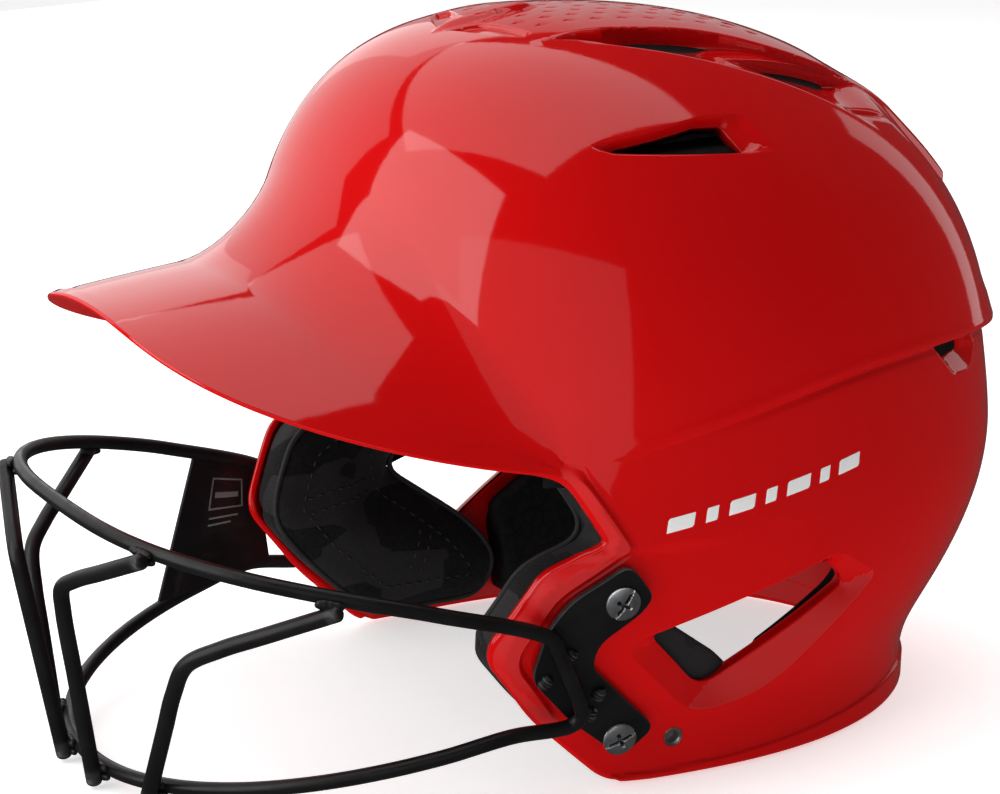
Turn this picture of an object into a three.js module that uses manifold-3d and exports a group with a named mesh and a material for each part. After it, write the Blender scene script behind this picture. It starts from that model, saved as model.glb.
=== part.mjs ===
// Batting helmet with a bolted wire face guard. Millimetres, +Z up, bill towards -Y, wearer's left towards +X.
// The helmet stands on the flat lower edge of its shell at z = 0. While it is being built, y is measured
// from the line through the ear openings; the finished group is moved so that its box is centred on y = 0.
import * as THREE from "three";
import { mergeVertices } from "three/addons/utils/BufferGeometryUtils.js";
import Module from "manifold-3d";

const wasm = await Module();
wasm.setup();

// ---- Driving dimensions -----------------------------------------------------------------------------
const BOX_MIDDLE_Y = -23.22;

const HALF_WIDTH = 109; // widest point of the shell, at the equator
const FRONT_HALF = 106; // forehead, ahead of the ear line
const FLAP_HALF = 157; // the same reach in the flaps' flatter plan curve
const REAR_HALF = 144; // back of the head
const EQUATOR_Z = 91;
const DOME_RISE = 132.5;
const WALL_DROP = 89;
const PLAN_POWER = 2.05;
const CROWN_POWER = 2.42;
const CROWN_POWER_FRONT = 0.07;
const CROWN_SHIFT = -15;
const SIDE_TAPER = 0.29;
const REAR_TAPER = 0.36;
const TAPER_LIMIT = 0.62;
const TAPER_SHARPNESS = 12;
const FLAP_BLEND_TOP_Z = 120;
const FLAP_BLEND_LOW_Z = 64;
const SHELL_THICKNESS = 3.6;

// The upper shell overhangs the lower one behind the ears, along a line that rises and falls round the head.
const STEP_CREST_Z = 125.3;
const STEP_FALL = 13;
const STEP_CREST_ANGLE = (120 * Math.PI) / 180;
const STEP_DEPTH = 3;
const STEP_FADE_START = (88 * Math.PI) / 180;
const STEP_FADE_END = (150 * Math.PI) / 180;

const BILL_HALF_WIDTH = 98;
const BILL_CORNER = { y: -55, z: 103, angle: (60.7 * Math.PI) / 180 };
const BILL_REACH = 114.4;
const BILL_TIP_Z = 146.1;
const BILL_SIDE_POWER = 3.49;
const BILL_FRONT_POWER = 1.215;
const BILL_ARCH_POWER = 2.06;
const BILL_SLOPE = 0.138;
const BILL_SAG = 0.00034;
const BILL_THICKNESS = 3.4;
const BILL_FILLET = 27;

const GAP = 0.3; // clearance between touching pieces
const FASTENER_GAP = 4.8; // room between shell and pads for the nuts' flanges

const SCREWS = [
  { name: "upper", y: -46.1, z: 65.5 },
  { name: "lower", y: -38.5, z: 17.2 },
];
const SCREW = { headRadius: 5.2, headHeight: 2, shankRadius: 2.5, shankLength: 8.6, gap: 0.75 };
const NUT = { flangeRadius: 6.5, flangeHeight: 1.4, barrelRadius: 4, bore: 2.8, barrelLength: 3.2, gap: 0.8 };
const SCREW_HOLE = 2.9;
const NUT_HOLE = 4.4;
const STRAP_INSERT = { y: -19.1, z: 13, radius: 3.2, bore: 1.9, proud: 0.4 };

const PLATE_THICKNESS = 2.4;
const PLATE_OUTSET = 0.8;
const WIRE_RADIUS = 2.3;
const BAR_RADIUS = 2.5;

const { abs, sin, cos, exp, log, PI, min, max, sign, hypot } = Math;
const SIDES = [
  { name: "left", x: 1 },
  { name: "right", x: -1 },
];

// ---- Helmet surface ---------------------------------------------------------------------------------
const clamp = (value, low, high) => min(max(value, low), high);

function smoothstep(from, to, value) {
  const t = clamp((value - from) / (to - from), 0, 1);
  return t * t * (3 - 2 * t);
}

const softMin = (a, limit, sharpness) =>
  (log(1 + exp(-sharpness * limit)) - log(exp(-sharpness * a) + exp(-sharpness * limit))) / sharpness;

const aroundHead = (angle) => PI - abs(((((angle % (2 * PI)) + 2 * PI) % (2 * PI)) - PI));

function stepHeight(angle) {
  const past = aroundHead(angle) - STEP_CREST_ANGLE;
  return STEP_CREST_Z - STEP_FALL * (1 - cos((past < 0 ? 2 : 1.5) * past));
}

const stepDepth = (angle) => STEP_DEPTH * smoothstep(STEP_FADE_START, STEP_FADE_END, aroundHead(angle));

// A point of the helmet's surface at an angle from straight ahead and a height, moved in by inset.
function shellPoint(angle, z, inset) {
  const rise = DOME_RISE - inset;
  const front = FRONT_HALF + (FLAP_HALF - FRONT_HALF) * smoothstep(FLAP_BLEND_TOP_Z, FLAP_BLEND_LOW_Z, z);
  const length = (front + REAR_HALF) / 2 + ((front - REAR_HALF) / 2) * cos(angle) - inset;
  const width = HALF_WIDTH - inset;
  const reach =
    ((abs(sin(angle)) / width) ** PLAN_POWER + (abs(cos(angle)) / length) ** PLAN_POWER) ** (-1 / PLAN_POWER);
  const power = CROWN_POWER + CROWN_POWER_FRONT * cos(angle);
  const height = clamp((z - EQUATOR_Z) / rise, 0, 1);
  const spread = (1 - height ** power) ** (1 / power);
  const drop = max((EQUATOR_Z - z) / WALL_DROP, 0);
  const taper = softMin(drop * drop, TAPER_LIMIT, TAPER_SHARPNESS);
  const rearTaper = (REAR_TAPER * (1 - cos(angle))) / 2;
  return new THREE.Vector3(
    (1 - SIDE_TAPER * taper) * spread * reach * sin(angle),
    -(1 - rearTaper * taper) * spread * reach * cos(angle) + CROWN_SHIFT * height * height,
    z,
  );
}

// The surface just inside or outside the shell, following the set-back of the lower rear.
function liningPoint(angle, z, inset) {
  const below = 1 - smoothstep(stepHeight(angle) + 16, stepHeight(angle) + 44, z);
  return shellPoint(angle, z, inset + stepDepth(angle) * below);
}

function normalAt(angle, z, inset) {
  const d = 0.4;
  const along = liningPoint(angle + d / HALF_WIDTH, z, inset).sub(liningPoint(angle - d / HALF_WIDTH, z, inset));
  const up = liningPoint(angle, z + d, inset).sub(liningPoint(angle, z - d, inset));
  return along.cross(up).normalize();
}

// The angle at which the surface passes a given y, on the wearer's left.
function angleAtY(y, z) {
  let low = 0.3;
  let high = PI;
  for (let i = 0; i < 40; i++) {
    const middle = (low + high) / 2;
    if (liningPoint(middle, z, 0).y < y) low = middle;
    else high = middle;
  }
  return (low + high) / 2;
}

// ---- Solids from grids, outlines and booleans --------------------------------------------------------
function solidFromTriangles(triangles) {
  const geometry = new THREE.BufferGeometry();
  geometry.setAttribute("position", new THREE.Float32BufferAttribute(triangles.flatMap((p) => [p.x, p.y, p.z]), 3));
  return solidFromGeometry(geometry);
}

function solidFromGeometry(geometry) {
  const bare = geometry.clone();
  bare.deleteAttribute("normal");
  bare.deleteAttribute("uv");
  const merged = mergeVertices(bare, 1e-4);
  const index = merged.index.array;
  const kept = [];
  for (let i = 0; i < index.length; i += 3) {
    const [a, b, c] = index.slice(i, i + 3);
    if (a !== b && b !== c && c !== a) kept.push(a, b, c);
  }
  const mesh = new wasm.Mesh({
    numProp: 3,
    vertProperties: merged.attributes.position.array,
    triVerts: new Uint32Array(kept),
  });
  return new wasm.Manifold(mesh);
}

function geometryFromSolid(solid) {
  const mesh = solid.getMesh();
  const geometry = new THREE.BufferGeometry();
  geometry.setAttribute("position", new THREE.Float32BufferAttribute(mesh.vertProperties, 3));
  geometry.setIndex(new THREE.BufferAttribute(mesh.triVerts, 1));
  return geometry;
}

const quad = (a, b, c, d) => [a, b, c, a, c, d];

// Rows run upwards, and the points of each run anticlockwise seen from above, all the way round.
function solidFromRings(rings) {
  const triangles = [];
  for (let i = 0; i + 1 < rings.length; i++) {
    const count = rings[i].length;
    for (let j = 0; j < count; j++) {
      const k = (j + 1) % count;
      triangles.push(...quad(rings[i][j], rings[i][k], rings[i + 1][k], rings[i + 1][j]));
    }
  }
  return solidFromTriangles(triangles);
}

// A thick patch: outer(u, v) and inner(u, v) give its two faces for u along and v up, each from 0 to 1.
function thickPatch(columns, rows, outer, inner) {
  const grid = (face) =>
    Array.from({ length: rows + 1 }, (_, i) =>
      Array.from({ length: columns + 1 }, (_, j) => face(j / columns, i / rows)),
    );
  const a = grid(outer);
  const b = grid(inner);
  const triangles = [];
  for (let i = 0; i < rows; i++) {
    for (let j = 0; j < columns; j++) {
      triangles.push(...quad(a[i][j], a[i][j + 1], a[i + 1][j + 1], a[i + 1][j]));
      triangles.push(...quad(b[i][j], b[i + 1][j], b[i + 1][j + 1], b[i][j + 1]));
    }
    triangles.push(...quad(a[i][0], a[i + 1][0], b[i + 1][0], b[i][0]));
    triangles.push(...quad(a[i][columns], b[i][columns], b[i + 1][columns], a[i + 1][columns]));
  }
  for (let j = 0; j < columns; j++) {
    triangles.push(...quad(a[0][j], b[0][j], b[0][j + 1], a[0][j + 1]));
    triangles.push(...quad(a[rows][j], a[rows][j + 1], b[rows][j + 1], b[rows][j]));
  }
  return solidFromTriangles(triangles);
}

// An outline in the side view, from [y, z, corner radius] points, with its corners rounded.
function roundedOutline(corners) {
  const shape = new THREE.Shape();
  corners.forEach(([y, z, wanted], i) => {
    const corner = new THREE.Vector2(y, z);
    const before = new THREE.Vector2(...corners[(i + corners.length - 1) % corners.length]);
    const after = new THREE.Vector2(...corners[(i + 1) % corners.length]);
    const radius = min(wanted, 0.45 * corner.distanceTo(before), 0.45 * corner.distanceTo(after));
    const start = corner.clone().add(before.sub(corner).setLength(radius));
    const end = corner.clone().add(after.sub(corner).setLength(radius));
    if (i) shape.lineTo(start.x, start.y);
    else shape.moveTo(start.x, start.y);
    if (radius > 0) shape.quadraticCurveTo(corner.x, corner.y, end.x, end.y);
  });
  return shape;
}

// A prism across the helmet, from x = from to x = to, with a side-view outline.
function sidePrism(shape, from, to) {
  const geometry = new THREE.ExtrudeGeometry(shape, { depth: to - from, bevelEnabled: false, curveSegments: 4 });
  const axes = new THREE.Matrix4().makeBasis(
    new THREE.Vector3(0, 1, 0),
    new THREE.Vector3(0, 0, 1),
    new THREE.Vector3(1, 0, 0),
  );
  return solidFromGeometry(geometry.applyMatrix4(axes.setPosition(from, 0, 0)));
}

function mirrored(solid) {
  return solid.mirror([1, 0, 0]);
}

// ---- Shell ------------------------------------------------------------------------------------------
const SHELL_COLUMNS = 48;
const LOWER_ROWS = 6;
const UPPER_ROWS = 9;

function shellRings(inset, bottomZ, stepLift) {
  const angles = Array.from({ length: SHELL_COLUMNS }, (_, j) => (2 * PI * j) / SHELL_COLUMNS);
  const rings = [angles.map(() => new THREE.Vector3(0, 0, bottomZ))];
  for (let i = 0; i <= LOWER_ROWS; i++) {
    rings.push(
      angles.map((angle) => {
        const z = bottomZ + ((stepHeight(angle) + stepLift - bottomZ) * i) / LOWER_ROWS;
        return shellPoint(angle, z, inset + stepDepth(angle));
      }),
    );
  }
  for (let i = 0; i < UPPER_ROWS; i++) {
    rings.push(
      angles.map((angle) => {
        const rise = DOME_RISE - inset;
        const low = ((stepHeight(angle) + stepLift - EQUATOR_Z) / rise) ** (CROWN_POWER / 2);
        const tilt = Math.acos(low) * (1 - i / UPPER_ROWS);
        return shellPoint(angle, EQUATOR_Z + rise * cos(tilt) ** (2 / CROWN_POWER), inset);
      }),
    );
  }
  rings.push(angles.map(() => new THREE.Vector3(0, CROWN_SHIFT, EQUATOR_Z + DOME_RISE - inset)));
  return rings;
}

function billEdgeZ(x) {
  const q = min(abs(x) / BILL_HALF_WIDTH, 1);
  return BILL_TIP_Z - (BILL_TIP_Z - BILL_CORNER.z) * q ** BILL_ARCH_POWER;
}

function billEdgeY(x) {
  const q = min(abs(x) / BILL_HALF_WIDTH, 1);
  return BILL_CORNER.y - BILL_REACH * (1 - q ** BILL_SIDE_POWER) ** (1 / BILL_FRONT_POWER);
}

function billHeight(x, y) {
  const back = y - billEdgeY(x);
  return billEdgeZ(x) + BILL_SLOPE * back - BILL_SAG * back * back;
}

// Where the bill's top meets the dome: the foot of section u, from -1 at one corner to 1 at the other.
function billFoot(u) {
  const angle = BILL_CORNER.angle * u;
  let z = BILL_TIP_Z;
  for (let i = 0; i < 12; i++) {
    const p = shellPoint(angle, z, 0);
    z = billHeight(p.x, p.y);
  }
  return shellPoint(angle, z, 0);
}

// The bill's top: from the dome (v = 0) through a concave fillet (v = 0.5) to the front edge (v = 1).
function billTop(u, v) {
  const x = BILL_HALF_WIDTH * sin((u * PI) / 2);
  const edge = new THREE.Vector3(x, billEdgeY(x), billEdgeZ(x));
  const foot = billFoot(u);
  const width = hypot(edge.x - foot.x, edge.y - foot.y);
  const radius = min(BILL_FILLET, 0.7 * width);
  const onBill = (t) => {
    const p = foot.clone().lerp(edge, t);
    return p.setZ(billHeight(p.x, p.y));
  };
  const landing = radius / width;
  if (v > 0.5) return onBill(landing + (1 - landing) * (v - 0.5) * 2);
  const angle = BILL_CORNER.angle * u;
  const start = shellPoint(angle, foot.z + radius, 0);
  const down = shellPoint(angle, foot.z + radius - 1, 0).sub(start).normalize();
  const end = onBill(landing);
  const back = onBill(landing * 0.9).sub(end).normalize();
  const handle = radius * 0.55;
  return new THREE.CubicBezierCurve3(
    start,
    start.clone().addScaledVector(down, handle),
    end.clone().addScaledVector(back, handle),
    end,
  ).getPoint(v * 2);
}

function billUnderside(u, v) {
  const d = 0.01;
  const along = billTop(min(u + d, 0.999), v).sub(billTop(max(u - d, -0.999), v));
  const out = billTop(u, min(v + d, 1)).sub(billTop(u, max(v - d, 0)));
  const normal = out.cross(along).normalize();
  return billTop(u, v).addScaledVector(normal, -BILL_THICKNESS);
}

const BILL_SPAN = 0.985;

function makeBill() {
  const span = (u) => (2 * u - 1) * BILL_SPAN;
  return thickPatch(
    20,
    7,
    (u, v) => billTop(span(u), 1 - v),
    (u, v) => billUnderside(span(u), 1 - v),
  );
}

// The face opening in the side view: under the bill, round the cheek notch, the flap's nose and its foot.
function faceOpening() {
  const underBill = [];
  for (let u = 0; u <= 0.92; u += 0.115) {
    const foot = billFoot(u);
    underBill.push([foot.y, foot.z - BILL_THICKNESS / 2, 0]);
  }
  return roundedOutline([
    [-240, -30, 0],
    [-240, underBill[0][1], 0],
    ...underBill,
    [-60, 101, 3],
    [-50.5, 82.5, 5],
    [-69, 73.5, 6],
    [-83, 47.5, 9],
    [-66, 24.5, 8],
    [-41, 0.8, 6],
    [-27, -2, 0],
    [-27, -30, 0],
  ]);
}

const EAR_HOLE = [
  [-34, 48.5, 5],
  [28.5, 65, 5],
  [39.5, 54, 4],
  [-12, 25.5, 7],
];

const SIDE_VENT = [
  [-37, 192.6, 1],
  [-5, 196.6, 1],
  [4.5, 196.6, 1],
  [8.5, 190.6, 1],
];

const REAR_VENT = [
  [80, 117, 1],
  [80, 124, 1],
  [101, 124, 1],
  [101, 116, 1],
];

const CROWN_VENTS = [
  { from: [36, -22], to: [43, 5], width: 4 },
  { from: [50, 38], to: [52, 57], width: 4 },
];

function verticalSlot({ from, to, width }) {
  const length = hypot(to[0] - from[0], to[1] - from[1]);
  const slot = new THREE.BoxGeometry(length, width, 60);
  slot.rotateZ(Math.atan2(to[1] - from[1], to[0] - from[0]));
  slot.translate((from[0] + to[0]) / 2, (from[1] + to[1]) / 2, EQUATOR_Z + DOME_RISE - 10);
  return solidFromGeometry(slot);
}

// A hole square to the surface at a side-view position, on the wearer's left.
function surfaceFrame(y, z, outset) {
  const angle = angleAtY(y, z);
  const normal = normalAt(angle, z, 0);
  const position = liningPoint(angle, z, 0).addScaledVector(normal, outset);
  const turn = new THREE.Quaternion().setFromUnitVectors(new THREE.Vector3(0, 0, 1), normal);
  return new THREE.Matrix4().compose(position, turn, new THREE.Vector3(1, 1, 1));
}

function surfaceHole(y, z, radius, from, to) {
  const hole = new THREE.CylinderGeometry(radius, radius, to - from, 16);
  hole.rotateX(PI / 2).translate(0, 0, (from + to) / 2);
  return solidFromGeometry(hole.applyMatrix4(surfaceFrame(y, z, 0)));
}

function makeShell() {
  const outer = solidFromRings(shellRings(0, 0, 0));
  const inner = solidFromRings(shellRings(SHELL_THICKNESS, -8, 3));
  let shell = outer.subtract(inner);
  shell = shell.subtract(sidePrism(faceOpening(), -160, 160)).add(makeBill());
  for (const outline of [EAR_HOLE, SIDE_VENT, REAR_VENT]) {
    shell = shell.subtract(sidePrism(roundedOutline(outline), -160, 160));
  }
  for (const vent of CROWN_VENTS) {
    const slot = verticalSlot(vent);
    shell = shell.subtract(slot).subtract(mirrored(slot));
  }
  const holes = SCREWS.map(({ y, z }) => surfaceHole(y, z, NUT_HOLE, -12, 12));
  holes.push(surfaceHole(STRAP_INSERT.y, STRAP_INSERT.z, STRAP_INSERT.radius + GAP, -12, 12));
  for (const hole of holes) shell = shell.subtract(hole).subtract(mirrored(hole));
  return shell;
}

// ---- Liner and pads ----------------------------------------------------------------------------------
const LINER_INSET = SHELL_THICKNESS + 1;
const LINER_THICKNESS = 14;
const PAD_THICKNESS = 8;
const degrees = (value) => (value * PI) / 180;

// A lining pad between two angles and two heights, from one inset to another.
function liningPad(fromAngle, toAngle, lowZ, highZ, inset, thickness, columns, rows) {
  const at = (depth) => (u, v) =>
    liningPoint(degrees(fromAngle + (toAngle - fromAngle) * u), lowZ + (highZ - lowZ) * v, depth);
  return thickPatch(columns, rows, at(inset), at(inset + thickness));
}

const CROWN_LINER_Z = 196;

function makeCrownLiner(inset, thickness, lowZ, columns) {
  const rings = [];
  const rows = 4;
  const angles = Array.from({ length: columns }, (_, j) => (2 * PI * j) / columns);
  const ringAt = (depth, part) => {
    const rise = DOME_RISE - depth;
    const tilt = Math.acos(((lowZ - EQUATOR_Z) / rise) ** (CROWN_POWER / 2)) * part;
    const z = EQUATOR_Z + rise * cos(tilt) ** (2 / CROWN_POWER);
    return angles.map((angle) =>
      part > 0 ? shellPoint(angle, z, depth) : new THREE.Vector3(0, CROWN_SHIFT, EQUATOR_Z + rise),
    );
  };
  for (let i = 0; i <= rows; i++) rings.push(ringAt(inset + thickness, i / rows));
  for (let i = rows; i >= 0; i--) rings.push(ringAt(inset, i / rows));
  return solidFromRings(rings);
}

const EAR_PAD = [
  [-52, 94, 2],
  [-49.5, 84, 3],
  [-71, 71.5, 6],
  [-80, 52, 8],
  [-66, 26, 6],
  [-44, 8.5, 6],
  [0, 11, 8],
  [9, 22, 7],
  [0, 34, 8],
  [-28, 56, 3],
  [-14, 66, 4],
  [4, 80, 6],
  [8, 94, 2],
];

function makeEarPad() {
  const block = liningPad(36, 100, 4, 96, SHELL_THICKNESS + FASTENER_GAP, 16, 9, 6);
  return block.intersect(sidePrism(roundedOutline(EAR_PAD), 10, 160));
}

// The lining of each flap behind and below the ear opening, in the side view.
const FLANK_PAD = [
  [15, 9, 3],
  [14, 26, 5],
  [42, 49, 4],
  [50, 66, 5],
  [63, 70, 4],
  [63, 9, 4],
];

function makeFlankLiner() {
  const block = liningPad(94, 131, 6, 74, LINER_INSET, 12, 7, 6);
  return block.intersect(sidePrism(roundedOutline(FLANK_PAD), 10, 160));
}

// ---- Face guard --------------------------------------------------------------------------------------
const LOOP_TOP = { x: 100, y: -70.5, reach: 109.3, power: 2.81, z: 58, climb: 33.5, bend: -6.6 };
const LOOP_LOW = { x: 94.5, y: -62.4, reach: 110.5, power: 2.08, z: 27.9, climb: -17.3, bend: -3 };

// One of the loop's two long bends: turn runs from 0 at the front to 1 at the wearer's left end.
function loopBend(side, turn) {
  const angle = (turn * PI) / 2;
  const x = side.x * sign(angle) * abs(sin(angle)) ** (2 / side.power);
  const y = side.y - side.reach * cos(angle) ** (2 / side.power);
  const back = (side.y - y) / 100;
  return new THREE.Vector3(x, y, side.z + side.climb * back + side.bend * back * back);
}

// The loop's run down each side plate: where its middle stands on the shell in the side view, [y, z].
const LOOP_CORNERS = [
  [-65.8, 57],
  [-63.3, 52.4],
  [-59, 43.7],
  [-54.3, 34.6],
  [-52.8, 29.6],
  [-55.2, 26.3],
];

function loopCurve() {
  const half = [];
  for (const turn of [0.13, 0.26, 0.39, 0.52, 0.64, 0.76, 0.88]) half.push(loopBend(LOOP_TOP, turn));
  const outset = PLATE_OUTSET + PLATE_THICKNESS + GAP + WIRE_RADIUS;
  for (const [y, z] of LOOP_CORNERS) {
    half.push(new THREE.Vector3().setFromMatrixPosition(surfaceFrame(y, z, outset)));
  }
  for (const turn of [0.92, 0.8, 0.68, 0.56, 0.43, 0.29, 0.14]) half.push(loopBend(LOOP_LOW, turn));
  const other = half.map((p) => new THREE.Vector3(-p.x, p.y, p.z)).reverse();
  const points = [loopBend(LOOP_TOP, 0), ...half, loopBend(LOOP_LOW, 0), ...other];
  return new THREE.CatmullRomCurve3(points, true, "centripetal");
}

const circle = (radius, sides) =>
  new THREE.Shape(
    Array.from({ length: sides }, (_, i) => {
      const a = (2 * PI * i) / sides;
      return new THREE.Vector2(radius * cos(a), radius * sin(a));
    }),
  );

const makeLoop = (radius) => solidFromGeometry(new THREE.TubeGeometry(loopCurve(), 116, radius, 8, true));

function wire(points, radius, steps) {
  const path = new THREE.CatmullRomCurve3(points, false, "centripetal");
  const options = { steps, extrudePath: path, bevelEnabled: false };
  return solidFromGeometry(new THREE.ExtrudeGeometry(circle(radius, 8), options));
}

// Each upright bar is welded against the outside of the loop: out and down give the side it touches on.
const UPRIGHTS = [
  { name: "inner", top: 0.262, low: 0.075, topSide: [0.87, -0.5], bend: [18, -188, 67.5], knee: 9 },
  { name: "outer", top: 0.686, low: 0.245, topSide: [0.45, -0.9], bend: [62, -168, 54], knee: 13 },
];
const LOW_SIDE = [0.98, -0.2];
const BAR_END = 2.2; // how far a bar's end stands past its weld

function weldPoint(side, turn, [out, up]) {
  const middle = loopBend(side, turn);
  const along = loopBend(side, turn + 0.01).sub(loopBend(side, turn - 0.01));
  const outward = new THREE.Vector3(-along.y, along.x, 0).normalize().negate();
  const distance = WIRE_RADIUS + BAR_RADIUS + 1.5 * GAP;
  return middle.addScaledVector(outward, distance * out).add(new THREE.Vector3(0, 0, distance * up));
}

const towards = (from, to, distance) => from.clone().add(to.clone().sub(from).setLength(distance));

function makeUpright({ top, low, topSide, bend, knee }) {
  const start = weldPoint(LOOP_TOP, top, topSide);
  const end = weldPoint(LOOP_LOW, low, LOW_SIDE);
  const middle = new THREE.Vector3(...bend);
  const points = [
    towards(start, middle, -BAR_END),
    start.clone().lerp(middle, 0.45),
    towards(middle, start, knee),
    towards(middle, start, knee / 3).lerp(towards(middle, end, knee / 3), 0.5),
    towards(middle, end, knee),
    middle.clone().lerp(end, 0.5),
    towards(end, middle, -BAR_END),
  ];
  return wire(points, BAR_RADIUS, 14);
}

const PLATE = [
  [-67, 57, 4],
  [-61.5, 66.5, 6],
  [-44.5, 77, 4],
  [-36.5, 66.5, 4],
  [-39.5, 61.5, 4],
  [-51, 52.5, 5],
  [-52, 44.5, 6],
  [-27, 19.5, 4],
  [-37, 10, 4],
  [-54.5, 25.5, 5],
  [-69, 41.5, 4],
];

function makePlate() {
  const at = (outset) => (u, v) => {
    const angle = degrees(47 + 36 * u);
    const z = 4 + 78 * v;
    return liningPoint(angle, z, 0).addScaledVector(normalAt(angle, z, 0), outset);
  };
  let plate = thickPatch(6, 7, at(PLATE_OUTSET + PLATE_THICKNESS), at(PLATE_OUTSET));
  plate = plate.intersect(sidePrism(roundedOutline(PLATE), 10, 160));
  for (const { y, z } of SCREWS) plate = plate.subtract(surfaceHole(y, z, SCREW_HOLE, -12, 12));
  return plate;
}

// A flat label plate fills the loop's corner ahead of the right flap. Its corners, given here on the
// wearer's left before it is mirrored, stand on the wire's middle line, from front to back.
const LABEL_LOW = [
  [83.6, -116.4, 17.7],
  [93.4, -70.0, 24.9],
];
const LABEL_TOP = [
  [99.5, -94.6, 65.7],
  [100.2, -71.5, 58.0],
];
const LABEL_THICKNESS = 1.6;

function makeLabelPlate() {
  const low = LABEL_LOW.map((p) => new THREE.Vector3(...p));
  const top = LABEL_TOP.map((p) => new THREE.Vector3(...p));
  const outward = top[1].clone().sub(low[0]).cross(top[0].clone().sub(low[1])).normalize();
  const at = (outset) => (u, v) => {
    const below = low[0].clone().lerp(low[1], u);
    const above = top[0].clone().lerp(top[1], u);
    return below.lerp(above, v).addScaledVector(outward, outset);
  };
  const sheet = thickPatch(4, 4, at(LABEL_THICKNESS / 2), at(-LABEL_THICKNESS / 2));
  return sheet.subtract(makeLoop(WIRE_RADIUS + GAP));
}

// ---- Fasteners ---------------------------------------------------------------------------------------
function turned(profile, frame, sides) {
  const points = profile.map(([r, h]) => new THREE.Vector2(r, h));
  const geometry = new THREE.LatheGeometry([...points, points[0]], sides);
  geometry.rotateX(PI / 2);
  return solidFromGeometry(geometry.applyMatrix4(frame));
}

function makeScrew({ y, z }) {
  const seat = PLATE_OUTSET + PLATE_THICKNESS + SCREW.gap;
  const { headRadius, headHeight, shankRadius, shankLength } = SCREW;
  const profile = [
    [0, seat - shankLength],
    [shankRadius, seat - shankLength],
    [shankRadius, seat],
    [headRadius, seat],
    [headRadius, seat + headHeight * 0.55],
    [headRadius * 0.8, seat + headHeight],
    [0, seat + headHeight],
  ];
  return turned(profile, surfaceFrame(y, z, 0), 16);
}

function makeNut({ y, z }) {
  const { flangeRadius, flangeHeight, barrelRadius, bore, barrelLength } = NUT;
  const top = -SHELL_THICKNESS - NUT.gap;
  const profile = [
    [bore, top - flangeHeight],
    [flangeRadius, top - flangeHeight],
    [flangeRadius, top],
    [barrelRadius, top],
    [barrelRadius, top + barrelLength],
    [bore, top + barrelLength],
  ];
  return turned(profile, surfaceFrame(y, z, 0), 12);
}

function makeStrapInsert() {
  const { y, z, radius, bore, proud } = STRAP_INSERT;
  const profile = [
    [bore, -SHELL_THICKNESS],
    [radius, -SHELL_THICKNESS],
    [radius, proud],
    [bore, proud],
  ];
  return turned(profile, surfaceFrame(y, z, 0), 16);
}

// ---- Assembly ----------------------------------------------------------------------------------------
const RED = { color: 0xb3141a, roughness: 0.12, metalness: 0 };
const FOAM = { color: 0x141416, roughness: 0.9, metalness: 0 };
const FABRIC = { color: 0x18181b, roughness: 0.8, metalness: 0 };
const BLACK_STEEL = { color: 0x0c0c0d, roughness: 0.4, metalness: 0 };
const STEEL = { color: 0xb9bbbe, roughness: 0.3, metalness: 1 };

const helmet = new THREE.Group();
helmet.position.y = -BOX_MIDDLE_Y;

function addPiece(name, solid, finish) {
  const mesh = new THREE.Mesh(geometryFromSolid(solid), new THREE.MeshStandardMaterial(finish));
  mesh.name = name;
  helmet.add(mesh);
}

function addPair(name, solid, finish, part = "") {
  for (const side of SIDES) {
    const fullName = [name, side.name, part].filter(Boolean).join("_");
    addPiece(fullName, side.x > 0 ? solid : mirrored(solid), finish);
  }
}

addPiece("outer_shell", makeShell(), RED);

addPiece("liner_front", liningPad(-50, 50, 118, 190, LINER_INSET, LINER_THICKNESS, 12, 4), FOAM);
addPiece("liner_rear", liningPad(133, 227, 26, 190, LINER_INSET, LINER_THICKNESS, 12, 8), FOAM);
addPiece("liner_crown", makeCrownLiner(LINER_INSET, LINER_THICKNESS, CROWN_LINER_Z, 20), FOAM);
addPair("liner_side", liningPad(54, 129, 98, 190, LINER_INSET, LINER_THICKNESS, 9, 5), FOAM);
addPair("liner_flank", makeFlankLiner(), FOAM);
const padInset = LINER_INSET + LINER_THICKNESS + 0.5;
addPiece("brow_pad", liningPad(-38, 38, 122, 152, padInset, PAD_THICKNESS, 10, 2), FABRIC);
addPiece("nape_pad", liningPad(148, 212, 32, 84, padInset, PAD_THICKNESS, 8, 3), FABRIC);
addPiece("crown_pad", makeCrownLiner(padInset, PAD_THICKNESS, 192, 16), FABRIC);
addPair("ear_pad", makeEarPad(), FABRIC);

addPiece("mask_loop", makeLoop(WIRE_RADIUS), BLACK_STEEL);
for (const upright of UPRIGHTS) addPair(`mask_bar_${upright.name}`, makeUpright(upright), BLACK_STEEL);
addPair("mask_plate", makePlate(), BLACK_STEEL);
addPiece("mask_label_plate", mirrored(makeLabelPlate()), BLACK_STEEL);
for (const screw of SCREWS) {
  addPair("screw", makeScrew(screw), STEEL, screw.name);
  addPair("t_nut", makeNut(screw), STEEL, screw.name);
}
addPair("strap_insert", makeStrapInsert(), STEEL);

export default helmet;
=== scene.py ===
import math

import bpy
import numpy as np
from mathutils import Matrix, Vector
from mathutils.bvhtree import BVHTree
from mathutils.geometry import delaunay_2d_cdt
from mathutils.kdtree import KDTree


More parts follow.
